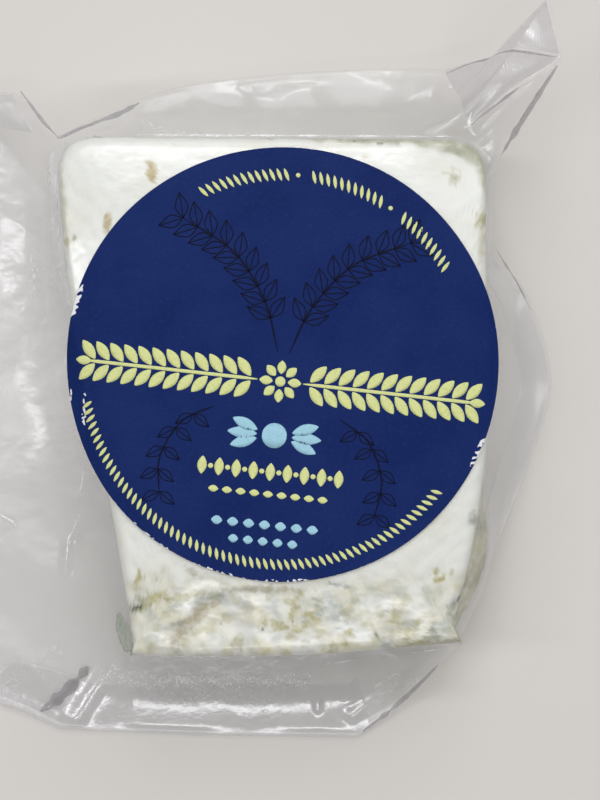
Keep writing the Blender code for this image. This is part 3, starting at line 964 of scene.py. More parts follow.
def cheese_masks(x, y):
    """Where the veins, moulds and creamy patches of the cheese lie, from 0 to 1."""
    bearing = np.arctan2(y, x)
    share = np.hypot(x, y) / block_radius(bearing)
    broken_end = smooth_step((-0.0260 - y) / 0.0100)
    line = np.array(RIND_LINE)
    line_share = np.interp(bearing, np.arctan2(line[:, 1], line[:, 0]),
                           np.hypot(*line.T) / block_radius(np.arctan2(line[:, 1], line[:, 0])),
                           left=1.2, right=1.2)
    ragged = 0.006 * waves(x, y, 0.0050, 31)
    rind = smooth_step((share - line_share + ragged) / 0.020)
    cut_side = smooth_step((share - 0.975) / 0.03) * smooth_step((x - 0.020) / 0.006)
    cut_side = cut_side * smooth_step((-0.008 - y) / 0.012)
    patchy = 0.5 + 0.5 * waves(x, y, 0.0060, 33)
    freckled = smooth_step((waves(x, y, 0.0034, 35) - 0.55) / 0.7) * broken_end
    clouded = smooth_step((waves(x, y, 0.0042, 37) - 0.60) / 0.8) * broken_end
    olive = patch_mask(x, y, OLIVE_PATCHES, 50, 0.30, 1.0)
    olive = np.maximum.reduce((olive, 0.62 * cut_side, 0.42 * rind, 0.35 * freckled))
    mould = patch_mask(x, y, MOULD_PATCHES, 60, 0.25, 0.9)
    mould = np.maximum.reduce((mould, 0.30 * cut_side * patchy, 0.16 * rind * (0.6 + patchy)))
    blue = np.maximum(patch_mask(x, y, BLUE_PATCHES, 70, 0.35, 1.0), 0.35 * clouded)
    return {"olive": olive, "mould": mould, "blue": np.maximum(blue, 0.30 * rind),
            "ochre": patch_mask(x, y, OCHRE_PATCHES, 80, 0.12, 0.5),
            # painted shade in the hollows and below the label's edge
            "hollow_shade": patch_mask(x, y, HOLLOW_SHADE_PATCHES, 90, 0.20, 1.0),
            "creamy": np.clip(broken_end * (0.12 + 0.50 * patchy), 0, 0.8)}


class CHEESEPACK_OT_block(bpy.types.Operator):
    """Make the block of cheese inside the pouch."""

    bl_idname = "cheesepack.block"
    bl_label = "Cheese block"

    def execute(self, context):
        settings = context.scene.pack_cheese
        bearing = np.arange(600) * math.tau / 600
        aim_x, aim_y = np.cos(bearing), np.sin(bearing)
        radius = block_radius(bearing) - settings.film_gap
        lean = side_lean(bearing)
        flat = radius - TOP_ROUNDING
        rings = []
        for share in np.concatenate((np.linspace(0.03, 0.5, 10), np.linspace(0.512, 1.0, 84))):
            x, y = aim_x * flat * share, aim_y * flat * share
            rings.append(np.column_stack((x, y, crown_height(x, y) + curd_relief(x, y))))
        rim = rings[-1][:, 2]
        for angle in np.linspace(0.2, 1.0, 6) * math.pi / 2:
            out = flat + TOP_ROUNDING * math.sin(angle)
            rings.append(np.column_stack((aim_x * out, aim_y * out, rim - TOP_ROUNDING * (1 - math.cos(angle)))))
        side_top = rim - TOP_ROUNDING
        for share in np.linspace(0.0, 1.0, 30)[1:]:
            height = side_top + (BASE_ROUNDING + settings.film_gap - side_top) * share
            out = radius + lean * smooth_step((side_top - height) / (side_top - SHOULDER_HEIGHT + 0.001))
            rings.append(np.column_stack((aim_x * out, aim_y * out, height)))
        for angle in np.linspace(0.33, 1.0, 3) * math.pi / 2:
            out = radius + lean - BASE_ROUNDING * (1 - math.cos(angle))
            low = settings.film_gap + BASE_ROUNDING * (1 - math.sin(angle))
            rings.append(np.column_stack((aim_x * out, aim_y * out, np.full(len(bearing), low))))
        rings = np.array(rings)
        sink = self.sink(*np.moveaxis(rings, -1, 0), settings.grain_height)
        top_share = smooth_step((rings[..., 2] - 0.0195) / 0.0035)
        rings[..., 2] -= (sink + settings.film_gap) * top_share
        distance = np.hypot(rings[..., 0], rings[..., 1])
        inward = np.minimum(sink, 0.0008) * (1 - top_share) / distance
        rings[..., 0] -= rings[..., 0] * inward
        rings[..., 1] -= rings[..., 1] * inward
        middle = (0.0, 0.0, MIDDLE_HEIGHT - 2 * settings.film_gap)
        shell = shell_of_rings(rings, middle, (0.0, 0.0, settings.film_gap))
        masks = cheese_masks(shell[0][:, 0], shell[0][:, 1])
        piece = make_piece("cheese_block", [shell], cheese_material(settings), masks)
        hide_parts("sealed_pouch")
        return {"FINISHED"}

    def sink(self, x, y, z, grain_height):
        """How far the cheese lies under the film: fine grain, and crumbly hollows at the broken end."""
        broken_end = smooth_step((-0.0280 - y) / 0.0060)
        depth = grain_height * (1.2 + waves(x, y + z, 0.0030, 11) + 0.5 * waves(x - z, y, 0.0012, 12))
        depth = depth + broken_end * 0.00014 * (1 + waves(x, y + 0.5 * z, 0.0040, 13))
        crumbs = [
            ([(-0.0190, -0.0406), (-0.0156, -0.0384), (-0.0123, -0.0361), (-0.0085, -0.0344)], 0.0011, 0.0006),
            ([(-0.0262, -0.0362), (-0.0238, -0.0357)], 0.0005, 0.0008),
            ([(-0.0063, -0.0452), (-0.0061, -0.0428)], 0.0005, 0.0006),
            ([(-0.0174, -0.0440), (-0.0172, -0.0412)], 0.0008, 0.0005),
            ([(-0.0044, -0.0330), (0.0040, -0.0333)], 0.0007, 0.0003),
            ([(0.0330, -0.0330), (0.0322, -0.0385)], 0.0004, 0.0005),
            ([(0.0190, -0.0445), (0.0200, -0.0415)], 0.0006, 0.0004),
        ]
        for points, width, amount in crumbs:
            depth = depth + amount * np.exp(-(line_distance(x, y, points) / width) ** 2)
        return np.clip(depth, 0, None)


# Film


def film_masks(x, y, z):
    """Where the film has painted glints on its knurling and where it is hazy, from 0 to 1."""
    painted_glint = np.zeros_like(x)
    for points, width, strength in PAINTED_GLINT_PATCHES:
        ragged = 0.25 * waves(x, y, 0.0025, 130)
        painted_glint = np.maximum(painted_glint, strength * smooth_step((1.5 - line_distance(x, y, points) / width + ragged) / 1.0))
    side_band = line_distance(x, y, [(-0.0402, 0.0455), (-0.0401, 0.0300), (-0.0385, 0.0245), (-0.0368, 0.0190)])
    haze = 0.45 * smooth_step((0.0016 - side_band) / 0.0006)
    return {"painted_glint": painted_glint, "haze": haze}


class CHEESEPACK_OT_pouch(bpy.types.Operator):
    """Make the clear film that clings to the block and spreads out as its skirt."""

    bl_idname = "cheesepack.pouch"
    bl_label = "Pouch film"

    def execute(self, context):
        settings = context.scene.pack_pouch
        rings = self.film_rings(settings.wave_height, settings.sheet_gap / 2)
        shell = shell_of_rings(rings, (0.0, 0.0, MIDDLE_HEIGHT), (0.0, 0.0, 0.0))
        material = film_material("clear_pouch_film", settings, settings.tint, 260.0, 0.0006, True)
        masks = film_masks(*shell[0].T)
        under = smooth_step((film_height(shell[0][:, 0], shell[0][:, 1]) - 0.0002 - shell[0][:, 2]) / 0.0001)
        masks = {label: values * (1 - under) for label, values in masks.items()}
        piece = make_piece("pouch_film", [shell], material, masks)
        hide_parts("sealed_pouch")
        return {"FINISHED"}

    def film_rings(self, wave_height, half_gap, columns=880):
        """Closed rings of the pouch: over the top, down to the edge and back under the block."""
        distance = np.arange(columns) * skirt_table()[0][-1] / columns
        _, _, _, aim_x, aim_y, flat, rim, foot, _, _ = skirt_at(distance)
        rings = []
        for share in np.concatenate((np.linspace(0.15, 0.6, 4), np.linspace(0.62, 1.0, 26))):
            x, y = aim_x * flat * share, aim_y * flat * share
            height = crown_height(x, y) + curd_relief(x, y)
            rings.append((x, y, height))
        for angle in np.linspace(0.2, 1.0, 5) * math.pi / 2:
            out = flat + TOP_ROUNDING * math.sin(angle)
            rings.append((aim_x * out, aim_y * out, rim - TOP_ROUNDING * (1 - math.cos(angle))))
        for share in np.concatenate(([0.0], np.linspace(0.0, 1.0, 44)[1:] ** 1.25)):
            rings.append(top_sheet(distance, np.full(columns, share), wave_height, half_gap))
        for share in np.linspace(1.0, 0.0, 14):
            rings.append(bottom_sheet(distance, np.full(columns, share), half_gap))
        for angle in np.linspace(0.33, 1.0, 3) * math.pi / 2:
            out = foot - BASE_ROUNDING * (1 - math.cos(angle))
            rings.append((aim_x * out, aim_y * out, np.full(columns, BASE_ROUNDING * (1 - math.sin(angle)))))
        return np.array([np.column_stack(ring) for ring in rings])


def seam_strip(first, last, width, spacing, relief, inset=0.0006):
    """A closed strip of welded film that lies on the upper sheet along part of its edge.

    It runs between two distances along the edge and reaches in by the given width. Its upper side
    carries the relief, a function of the distance along the edge and of the distance from it.
    """
    settings = bpy.context.scene.pack_pouch
    distance = np.linspace(first, last, int((last - first) / spacing))[:, None]
    from_edge = np.linspace(inset, width, max(4, int(width / spacing)))[None, :]
    edge_x, edge_y, _, aim_x, aim_y, _, _, foot, _, _ = skirt_at(distance)
    reach = np.hypot(edge_x - foot * aim_x, edge_y - foot * aim_y)
    share = np.clip(1 - from_edge / reach, 0.04, 1.0)
    x, y, z = top_sheet(distance + 0 * from_edge, share, settings.wave_height, settings.sheet_gap / 2)
    fade = smooth_step((from_edge - inset) / 0.001) * smooth_step((width - from_edge) / 0.001)
    fade = fade * smooth_step((distance - first) / 0.002) * smooth_step((last - distance) / 0.002)
    upper = np.dstack((x, y, z + 0.00009 + fade * relief(distance, from_edge)))
    lower = np.dstack((x, y, z + 0.00003 + 0 * from_edge))
    return shell_of_sheets(upper, lower)


def knurl(pitch, height, seed):
    """A relief of rows of small pips, each of its own height."""
    rng = np.random.default_rng(seed)

    def relief(distance, from_edge):
        row = np.cos(from_edge * math.tau / pitch) * np.cos(distance * math.tau / pitch)
        uneven = rng.uniform(-1, 1, np.broadcast_shapes(distance.shape, from_edge.shape))
        return height * (0.5 * row + 0.5 * uneven + 0.6)

    return relief


def ribs(pitch, height, slant=0.0):
    """A relief of ribs that run across the seam, leaning along it by the slant."""
    def relief(distance, from_edge):
        return height * (0.5 + 0.5 * np.cos((distance + slant * from_edge) * math.tau / pitch))

    return relief


class CHEESEPACK_OT_seams(bpy.types.Operator):
    """Make the welded strips: knurled along the bottom, ribbed at the mouth, the right and the corner."""

    bl_idname = "cheesepack.seams"
    bl_label = "Welded seams"

    def execute(self, context):
        settings = context.scene.pack_pouch
        right, corner, top, wing, mouth, bottom, end = skirt_table()[2]
        pitch = settings.knurl_pitch
        material = film_material("welded_film", settings, settings.seam_tint, 900.0, 0.0002)
        strips = {
            "bottom_seam": [seam_strip(bottom + 0.004, end - 0.022, 0.0105, 0.00024, knurl(pitch, 0.00005, 5))],
            "mouth_seam": [seam_strip(mouth + 0.002, bottom - 0.002, 0.0075, 0.00025, ribs(0.00075, 0.00010))],
            "wing_seam": [seam_strip(wing + 0.0130, mouth - 0.001, 0.0090, 0.00018, ribs(0.00065, 0.00014))],
            "right_seam": [seam_strip(right + 0.010, corner - 0.001, 0.0060, 0.00018, ribs(0.00060, 0.00004, 0.3))],
        }
        for name, shells in strips.items():
            make_piece(name, shells, material)
        return {"FINISHED"}


def laid_patch(edge_a, edge_b, rows, columns, rise, relief):
    """A closed patch of film laid on the pouch between two lines, with a relief in plan."""
    first = resample(smooth_line(edge_a), columns)
    second = resample(smooth_line(edge_b), columns)
    share = np.linspace(0, 1, rows)[None, :, None]
    plan = first[:, None, :] * (1 - share) + second[:, None, :] * share
    x, y = plan[..., 0], plan[..., 1]
    base = film_height(x, y) + rise
    fade = smooth_step(np.minimum(share, 1 - share)[..., 0] * 12)
    upper = np.dstack((x, y, base + 0.00006 + fade * relief(x, y)))
    return shell_of_sheets(upper, np.dstack((x, y, base)))


def resample(path, count):
    """The path's points at even steps along its length."""
    along = np.concatenate(([0.0], np.cumsum(np.linalg.norm(np.diff(path, axis=0), axis=1))))
    wanted = np.linspace(0, along[-1], count)
    return np.column_stack([np.interp(wanted, along, path[:, axis]) for axis in (0, 1)])


class CHEESEPACK_OT_corner(bpy.types.Operator):
    """Make the ribbed flap folded over the raised corner, and the ribbed tip beneath it."""

    bl_idname = "cheesepack.corner"
    bl_label = "Folded corner"

    def execute(self, context):
        settings = context.scene.pack_pouch
        material = film_material("folded_film", settings, (0.93, 0.925, 0.93, 1.0), 700.0, 0.0002)
        rib = functools.partial(self.upright_ribs, pitch=0.0005, height=0.00005)
        flap = laid_patch(
            [(0.0316, 0.0622), (0.0355, 0.0632), (0.0393, 0.0634), (0.0450, 0.0624), (0.0498, 0.0610)],
            [(0.0318, 0.0612), (0.0330, 0.0560), (0.0348, 0.0512), (0.0420, 0.0562), (0.0497, 0.0606)],
            70, 170, 0.00010, rib)
        tip = laid_patch(
            [(0.0399, 0.0639), (0.0440, 0.0680), (0.0480, 0.0716)],
            [(0.0410, 0.0634), (0.0455, 0.0628), (0.0499, 0.0616)], 60, 130, 0.00006, rib)
        make_piece("folded_flap", [flap], material)
        make_piece("ribbed_tip", [tip], material)
        return {"FINISHED"}

    def upright_ribs(self, x, y, pitch, height):
        """Fine ribs along Y, a little wavy."""
        return height * (0.5 + 0.5 * np.cos((x + 0.00008 * waves(x, y, 0.004, 140)) * math.tau / pitch))


# Creases in the film, whitened, their white partly a painted highlight: points, half width
CREASE_HIGHLIGHTS = [
    ([(-0.0357, -0.0116), (-0.0364, -0.0142), (-0.0372, -0.0178)], 0.00016),
    ([(-0.0373, -0.0207), (-0.0385, -0.0236), (-0.0395, -0.0254), (-0.0397, -0.0280), (-0.0400, -0.0306)], 0.00022),
    ([(-0.0532, -0.0207), (-0.0505, -0.0222), (-0.0495, -0.0236)], 0.00030),
    ([(0.0086, -0.0482), (0.0118, -0.0476), (0.0151, -0.0467)], 0.00018),
    ([(0.0246, -0.0451), (0.0275, -0.0447), (0.0301, -0.0440)], 0.00018),
    ([(-0.0300, -0.0431), (-0.0280, -0.0418)], 0.00014),
    ([(-0.0415, 0.0458), (-0.0416, 0.0380), (-0.0414, 0.0297)], 0.00010),
    ([(-0.0419, 0.0440), (-0.0422, 0.0422), (-0.0421, 0.0410)], 0.00055),
    ([(-0.0400, 0.0420), (-0.0401, 0.0350), (-0.0397, 0.0270)], 0.00008),
    ([(0.0350, 0.0522), (0.0346, 0.0505), (0.0353, 0.0486), (0.0362, 0.0483)], 0.00030),
    ([(0.0318, 0.0590), (0.0322, 0.0578)], 0.00035),
    ([(0.0496, 0.0604), (0.0462, 0.0584), (0.0420, 0.0560)], 0.00014),
    ([(-0.0345, 0.0472), (-0.0310, 0.0483), (-0.0262, 0.0486)], 0.00016),
]
# Doubled film along a fold, with the fold's shadow painted in as a grey band: points, half width
FOLD_SHADE_BANDS = [
    ([(-0.0402, 0.0492), (-0.0372, 0.0505), (-0.0330, 0.0528), (-0.0290, 0.0545), (-0.0255, 0.0565)], 0.00055),
    ([(0.0408, 0.0452), (0.0447, 0.0517), (0.0496, 0.0596)], 0.00050),
    ([(0.0318, 0.0618), (0.0355, 0.0629), (0.0394, 0.0632), (0.0450, 0.0622), (0.0494, 0.0610)], 0.00022),
    ([(0.0350, 0.0500), (0.0380, 0.0524), (0.0430, 0.0560)], 0.00022),
    ([(0.0165, -0.0622), (0.0235, -0.0562), (0.0302, -0.0484)], 0.00040),
    ([(-0.0360, -0.0500), (-0.0400, -0.0545), (-0.0450, -0.0585)], 0.00110),
    ([(0.0408, 0.0290), (0.0452, 0.0225), (0.0478, 0.0178)], 0.00016),
    ([(-0.0475, 0.0585), (-0.0430, 0.0525), (-0.0402, 0.0495)], 0.00030),
]
WHEY_MIDDLE = (-0.0279, -0.0425)
WHEY_SIZE = (0.0022, 0.0036)
WHEY_TURN = math.radians(18)


class CHEESEPACK_OT_creases(bpy.types.Operator):
    """Make the sharp creases with their painted highlights, the doubled folds with their painted shadow, and the whey
    trapped at the lower left corner.
    """

    bl_idname = "cheesepack.creases"
    bl_label = "Creases and whey"

    def execute(self, context):
        settings = context.scene.pack_pouch
        # Painted highlights: whitened crease lines, and a white line along the block's top edge.
        creases = [self.strip(points, width, 0.00005, 0.00012) for points, width in CREASE_HIGHLIGHTS]
        creases.append(self.edge_highlight())
        make_piece("film_crease_highlights", creases, crease_highlight_material(settings))
        # Painted shadow: grey bands along the folds darken the film and floor beneath them.
        fold_shades = [self.strip(points, width, 0.00003, 0.00006) for points, width in FOLD_SHADE_BANDS]
        make_piece("film_folds_painted_shade", fold_shades, shade_material())
        make_piece("whey_pocket", [self.whey_pocket()], whey_material())
        return {"FINISHED"}

    def strip(self, points, width, rise, crown):
        """A crowned strip on the film that tapers towards both ends."""
        path = smooth_line(points)
        share = np.linspace(0, 1, len(path))
        taper = np.sin(np.clip(share, 0.02, 0.98) * math.pi) ** 0.5
        uneven = 1 + 0.25 * waves(path[:, 0], path[:, 1], 0.0030, 150)
        return ribbon(path, width * taper * uneven, film_height, rise, 0.00004, crown=crown)

    def edge_highlight(self):
        """A painted highlight: a white line on the tight film along the top edge of the block's wide end."""
        bearing = np.radians(np.linspace(57, 117, 200))
        out = block_radius(bearing) + 0.00005
        path = np.column_stack((out * np.cos(bearing), out * np.sin(bearing)))
        width = 0.00014 * (1 + 0.4 * waves(path[:, 0], path[:, 1], 0.006, 151))
        top = EDGE_HEIGHT - 0.55 * TOP_ROUNDING + 0.0008
        return ribbon(path, width, lambda x, y: np.full(x.shape, top), 0.0, 0.00004, crown=0.00010)

    def whey_pocket(self):
        """A flat bulge on the film beside the block's corner, round in plan and lens-shaped in section."""
        turn = np.arange(72) * math.tau / 72
        rings = []
        for share, side in [(s, 1) for s in np.linspace(0.08, 1.0, 18)] + [(s, -1) for s in np.linspace(0.97, 0.08, 12)]:
            wobble = 1 + 0.10 * np.cos(3 * turn + 0.7) + 0.06 * np.cos(5 * turn)
            along = WHEY_SIZE[1] * share * wobble * np.cos(turn)
            across = WHEY_SIZE[0] * share * wobble * np.sin(turn)
            x = WHEY_MIDDLE[0] + across * math.cos(WHEY_TURN) - along * math.sin(WHEY_TURN)
            y = WHEY_MIDDLE[1] + across * math.sin(WHEY_TURN) + along * math.cos(WHEY_TURN)
            bulge = (0.0008 if side > 0 else -0.0012) * (1 - share ** 2) + 0.00004
            rings.append(np.column_stack((x, y, film_height(x, y) + bulge)))
        rings = np.array(rings)
        return shell_of_rings(rings, rings[0].mean(axis=0), rings[-1].mean(axis=0))


# Label


class CHEESEPACK_OT_label(bpy.types.Operator):
    """Make the round paper label with its worn edge."""

    bl_idname = "cheesepack.label"
    bl_label = "Round label"

    def execute(self, context):
        settings = context.scene.pack_label
        bearing = np.arange(720) * math.tau / 720
        rim = LABEL_RADIUS * (1 + 0.0010 * waves(np.cos(bearing), np.sin(bearing), 0.9, 41))
        shares = np.concatenate((np.linspace(0.04, 0.84, 24), np.linspace(0.86, 1.0, 30)))
        rings = []
        for face, lift in ((shares, PRINTED_LIFT), (shares[::-1], GLUED_LIFT)):
            for share in face:
                x = LABEL_MIDDLE[0] + rim * share * np.cos(bearing)
                y = LABEL_MIDDLE[1] + rim * share * np.sin(bearing)
                rings.append(np.column_stack((x, y, label_height(x, y) + lift)))
        x, y = LABEL_MIDDLE
        middle = float(label_height(np.array(x), np.array(y)))
        shell = shell_of_rings(np.array(rings), (x, y, middle + PRINTED_LIFT), (x, y, middle + GLUED_LIFT))
        piece = make_piece("paper_label", [shell], paper_material(settings),
                           {"worn": self.worn_mask(*shell[0].T)})
        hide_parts("round_label")
        return {"FINISHED"}

    def worn_mask(self, x, y, z):
        """Where the label shows its white core: its glued side, cut edge, nicks and cracks."""
        dx, dy = x - LABEL_MIDDLE[0], y - LABEL_MIDDLE[1]
        inset = LABEL_RADIUS - np.hypot(dx, dy)
        bearing = np.degrees(np.arctan2(dy, dx)) % 360
        worn = smooth_step((PRINTED_LIFT - 0.00004 - (z - label_height(x, y))) / 0.00004)
        rim_wear = ((163, 6, 0.0013, 0.85), (262, 20, 0.0006, 0.70), (233, 10, 0.0004, 0.60),
                    (336, 6, 0.0013, 0.85), (188, 2, 0.0008, 0.80), (0, 360, 0.00015, 0.45))
        for middle, half, depth, strength in rim_wear:
            offset = np.abs((bearing - middle + 180) % 360 - 180)
            window = smooth_step((half - offset) / (0.4 * half)) * smooth_step((depth - inset) / (0.6 * depth))
            ragged = np.clip(0.7 + 0.5 * waves(x, y, 0.0011, middle), 0, 1.3)
            worn = np.maximum(worn, strength * window * ragged)
        cracks = [([(-0.0334, 0.0022), (-0.0335, 0.0005)], 0.00016), ([(-0.0335, -0.0006), (-0.0337, -0.0032)], 0.00028),
                  ([(-0.0346, 0.0190), (-0.0354, 0.0170)], 0.00030)]
        for points, width in cracks:
            ragged = 0.5 * waves(x, y, 0.0008, 170)
            worn = np.maximum(worn, 0.9 * smooth_step(1.3 - line_distance(x, y, points) / width + ragged))
        return np.clip(worn, 0, 1)


class CHEESEPACK_OT_print(bpy.types.Operator):
    """Make the printed ornament: a leaf garland, rows of seeds, a rope border and line-drawn sprigs."""

    bl_idname = "cheesepack.print"
    bl_label = "Label print"

    def execute(self, context):
        settings = context.scene.pack_label
        inks = (
            ("pale_yellow_print", self.garland() + self.seed_rows() + self.rope_border(),
             "pale_yellow_ink", settings.yellow_colour, 0.80),
            ("light_blue_print", self.blue_shapes(), "light_blue_ink", settings.blue_colour, 0.80),
            ("dark_print", self.sprigs(), "dark_ink", settings.dark_colour, 1.6),
        )
        for name, shapes, slot, colour, fade in inks:
            shells = [self.printed(path, width, settings) for path, width in shapes]
            make_piece(name, shells, ink_material(slot, colour, fade))
        return {"FINISHED"}

    def printed(self, path, half_width, settings):
        """A print shape turned with the label and laid on it."""
        c, s = math.cos(settings.turn), math.sin(settings.turn)
        turned = np.column_stack((path[:, 0] * c - path[:, 1] * s, path[:, 0] * s + path[:, 1] * c))
        return ribbon(turned + LABEL_MIDDLE, half_width, print_height, 0.00001, settings.ink_thickness, across=4)

    def garland(self):
        """Leaves in pairs on a stem, running out to both sides from a rosette."""
        middle, shapes = -0.0031, []
        for side in (-1, 1):
            shapes.append(stroke([(side * 0.0040, middle), (side * 0.020, middle), (side * 0.0352, middle)], 0.00030))
            for x in np.arange(0.0052, 0.0330, 0.0025):
                for lift in (-1, 1):
                    shapes.append(leaf((side * x, middle + lift * 0.0004),
                                       (side * (x + 0.0026), middle + lift * 0.0035), 0.00095))
            shapes.append(leaf((side * 0.0333, middle), (side * 0.0362, middle), 0.0008))
        for angle in np.arange(8) * math.tau / 8:
            inner, outer = 0.0013, 0.0037
            aim = np.array((math.cos(angle), math.sin(angle)))
            shapes.append(leaf(aim * inner + (0, middle), aim * outer + (0, middle), 0.0008))
        shapes.append(disc((0, middle), 0.0009))
        return shapes

    def seed_rows(self):
        """A row of upright seeds with dots between them, and a finer row below."""
        shapes = [leaf((x, -0.0206), (x, -0.0174), 0.00085) for x in np.arange(-4, 5) * 0.0030]
        shapes += [disc((x, -0.0190), 0.00045) for x in (np.arange(-4, 4) + 0.5) * 0.0030]
        shapes += [leaf((x - 0.0009, -0.0229), (x + 0.0009, -0.0229), 0.00060) for x in np.arange(-4, 5) * 0.0024]
        return shapes

    def rope_border(self):
        """Slanted strokes set round the rim in arcs, with a dot in each of the two gaps between the three upper arcs.
        """
        shapes = []
        for first, last, radius, length in ((123, 95, 0.0332, 0.0023), (88, 65, 0.0332, 0.0023),
                                            (58, 37, 0.0332, 0.0023), (198, 328, 0.0351, 0.0020)):
            step = math.degrees(0.00125 / radius)
            middle = np.radians(np.arange(min(first, last), max(first, last), step))
            lean = 0.00045 / radius
            for angle in middle:
                inner = (radius - length / 2) * np.array((math.cos(angle - lean), math.sin(angle - lean)))
                outer = (radius + length / 2) * np.array((math.cos(angle + lean), math.sin(angle + lean)))
                shapes.append(leaf(inner, outer, 0.00034, 6))
        for degrees in (91.5, 61.5):
            angle = math.radians(degrees)
            shapes.append(disc((0.0332 * math.cos(angle), 0.0332 * math.sin(angle)), 0.0004, 7))
        return shapes

    def blue_shapes(self):
        """A round flower between broad leaves, and two rows of small leaves."""
        middle, shapes = -0.0126, [disc((0, -0.0126), 0.0022, 13)]
        for side in (-1, 1):
            for rise in (-0.0024, 0.0, 0.0024):
                shapes.append(leaf((side * 0.0030, middle + 0.3 * rise), (side * (0.0083 - abs(rise) * 0.3), middle + rise),
                                   0.0010))
        shapes += [leaf((x - 0.0010, -0.0283), (x + 0.0010, -0.0283), 0.00080) for x in np.arange(-3, 4) * 0.0028]
        shapes += [leaf((x - 0.0009, -0.0312), (x + 0.0009, -0.0312), 0.00075) for x in np.arange(-2, 3) * 0.0026]
        return shapes

    def sprigs(self):
        """Two leafy stems drawn in line, which rise from the middle and bend outwards."""
        shapes = []
        for side in (-1, 1):
            stem = [(side * 0.0010, 0.0020), (side * 0.0042, 0.0105), (side * 0.0105, 0.0185), (side * 0.0200, 0.0235)]
            shapes.append(stroke(stem, 0.00016))
            path = resample(smooth_line(stem), 11)
            forward = np.gradient(path, axis=0)
            forward /= np.linalg.norm(forward, axis=1)[:, None]
            for point, (fx, fy) in zip(path[2:], forward[2:]):
                for hand in (-1, 1):
                    tip = point + 0.0046 * (np.array((fx, fy)) * 0.65 + hand * 0.75 * np.array((-fy, fx)))
                    shapes += leaf_outline(point, tip, 0.0011, 0.00010)
            low = [(side * 0.0110, -0.0085), (side * 0.0165, -0.0120), (side * 0.0195, -0.0185), (side * 0.0190, -0.0245)]
            shapes.append(stroke(low, 0.00014))
            for point in resample(smooth_line(low), 6)[1:]:
                for hand in (-1, 1):
                    shapes += leaf_outline(point, point + np.array((hand * 0.0030, -0.0020)), 0.0009, 0.00009)
        return shapes


# Stage


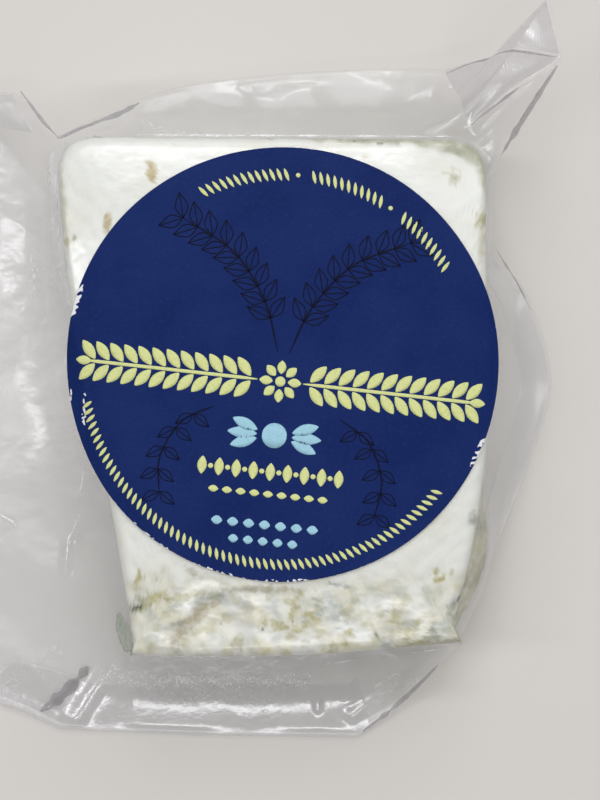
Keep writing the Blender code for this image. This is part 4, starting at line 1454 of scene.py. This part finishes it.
class CHEESEPACK_OT_stage(bpy.types.Operator):
    """Make the floor, the lights and the camera."""

    bl_idname = "cheesepack.stage"
    bl_label = "Stage"

    def execute(self, context):
        settings = context.scene.pack_stage
        self.make_floor(settings)
        self.make_sky(settings)
        lights = (
            ("key", (0.35, 0.85, 1.10), (1.5, 1.5), settings.key_power),
            ("panel", (-0.30, 0.05, 1.30), (0.26, 0.6), settings.panel_power),
            ("strip_low", (0.02, -0.42, 0.80), (0.5, 0.06), settings.strip_power),
            ("strip_high", (-0.05, 0.44, 0.85), (0.5, 0.06), settings.strip_power),
            ("strip_left", (-0.52, 0.05, 0.78), (0.06, 0.4), settings.strip_power),
        )
        for name, place, size, power in lights:
            light = bpy.data.lights.new(name, "AREA")
            light.shape = "RECTANGLE"
            light.size, light.size_y = size
            light.energy = power
            lamp = bpy.data.objects.new(name, light)
            lamp.location = place
            lamp.rotation_euler = (-lamp.location).to_track_quat("-Z", "Y").to_euler()
            context.scene.collection.objects.link(lamp)
        self.make_camera(context.scene)
        context.scene.view_settings.view_transform = "Standard"
        context.scene.cycles.transparent_max_bounces = 24
        return {"FINISHED"}

    def make_floor(self, settings):
        """A wide plain floor just under the pack."""
        material, tree = new_material("plain_floor")
        finish_material(tree, add_node(tree, "BsdfPrincipled", {
            "Base Color": tuple(settings.floor_colour), "Roughness": 0.8, "Specular IOR Level": 0.2}))
        mesh = bpy.data.meshes.new("floor")
        corners = [(x, y, -0.0001) for x, y in ((-2, -2), (2, -2), (2, 2), (-2, 2))]
        mesh.from_pydata(corners, [], [(0, 1, 2, 3)])
        mesh.materials.append(material)
        floor = bpy.data.objects.new("floor", mesh)
        bpy.context.scene.collection.objects.link(floor)

    def make_sky(self, settings):
        """Even light from all round."""
        world = bpy.data.worlds.new("soft_sky")
        world.use_nodes = True
        background = world.node_tree.nodes["Background"]
        background.inputs["Color"].default_value = (1.0, 0.985, 0.965, 1.0)
        background.inputs["Strength"].default_value = settings.sky_strength
        bpy.context.scene.world = world

    def make_camera(self, scene):
        """A camera that looks straight down, with +Y up in the picture."""
        camera = bpy.data.cameras.new("camera")
        camera.sensor_width = 36.0
        camera.lens = camera.sensor_width * FOCAL_PX / PICTURE_HEIGHT_PX
        camera.clip_start = 0.01
        viewer = bpy.data.objects.new("camera", camera)
        shift = frame_shift()
        viewer.location = (CAMERA_PLACE[0] + shift[0], CAMERA_PLACE[1] + shift[1], CAMERA_PLACE[2])
        scene.collection.objects.link(viewer)
        scene.camera = viewer


class CHEESEPACK_PT_sidebar(bpy.types.Panel):
    """Lists the steps that build the pack."""

    bl_label = "Cheese pack"
    bl_space_type = "VIEW_3D"
    bl_region_type = "UI"
    bl_category = "Cheese pack"

    def draw(self, context):
        for step in STEPS:
            self.layout.operator(step.bl_idname)


SETTINGS = {"pack_cheese": CheeseSettings, "pack_pouch": PouchSettings,
            "pack_label": LabelSettings, "pack_stage": StageSettings}
STEPS = (CHEESEPACK_OT_block, CHEESEPACK_OT_pouch, CHEESEPACK_OT_seams, CHEESEPACK_OT_corner,
         CHEESEPACK_OT_creases, CHEESEPACK_OT_label, CHEESEPACK_OT_print, CHEESEPACK_OT_stage)


def register():
    """Registers the settings, the steps and the panel."""
    for label, group in SETTINGS.items():
        bpy.utils.register_class(group)
        setattr(bpy.types.Scene, label, bpy.props.PointerProperty(type=group))
    for step in (*STEPS, CHEESEPACK_PT_sidebar):
        bpy.utils.register_class(step)


def unregister():
    """Removes what register added."""
    for step in reversed((*STEPS, CHEESEPACK_PT_sidebar)):
        bpy.utils.unregister_class(step)
    for label, group in reversed(SETTINGS.items()):
        delattr(bpy.types.Scene, label)
        bpy.utils.unregister_class(group)


def main():
    """Builds the whole pack and its stage."""
    register()
    bpy.ops.cheesepack.block()
    bpy.ops.cheesepack.pouch()
    bpy.ops.cheesepack.seams()
    bpy.ops.cheesepack.corner()
    bpy.ops.cheesepack.creases()
    bpy.ops.cheesepack.label()
    bpy.ops.cheesepack.print()
    bpy.ops.cheesepack.stage()


if __name__ == "__main__":
    main()
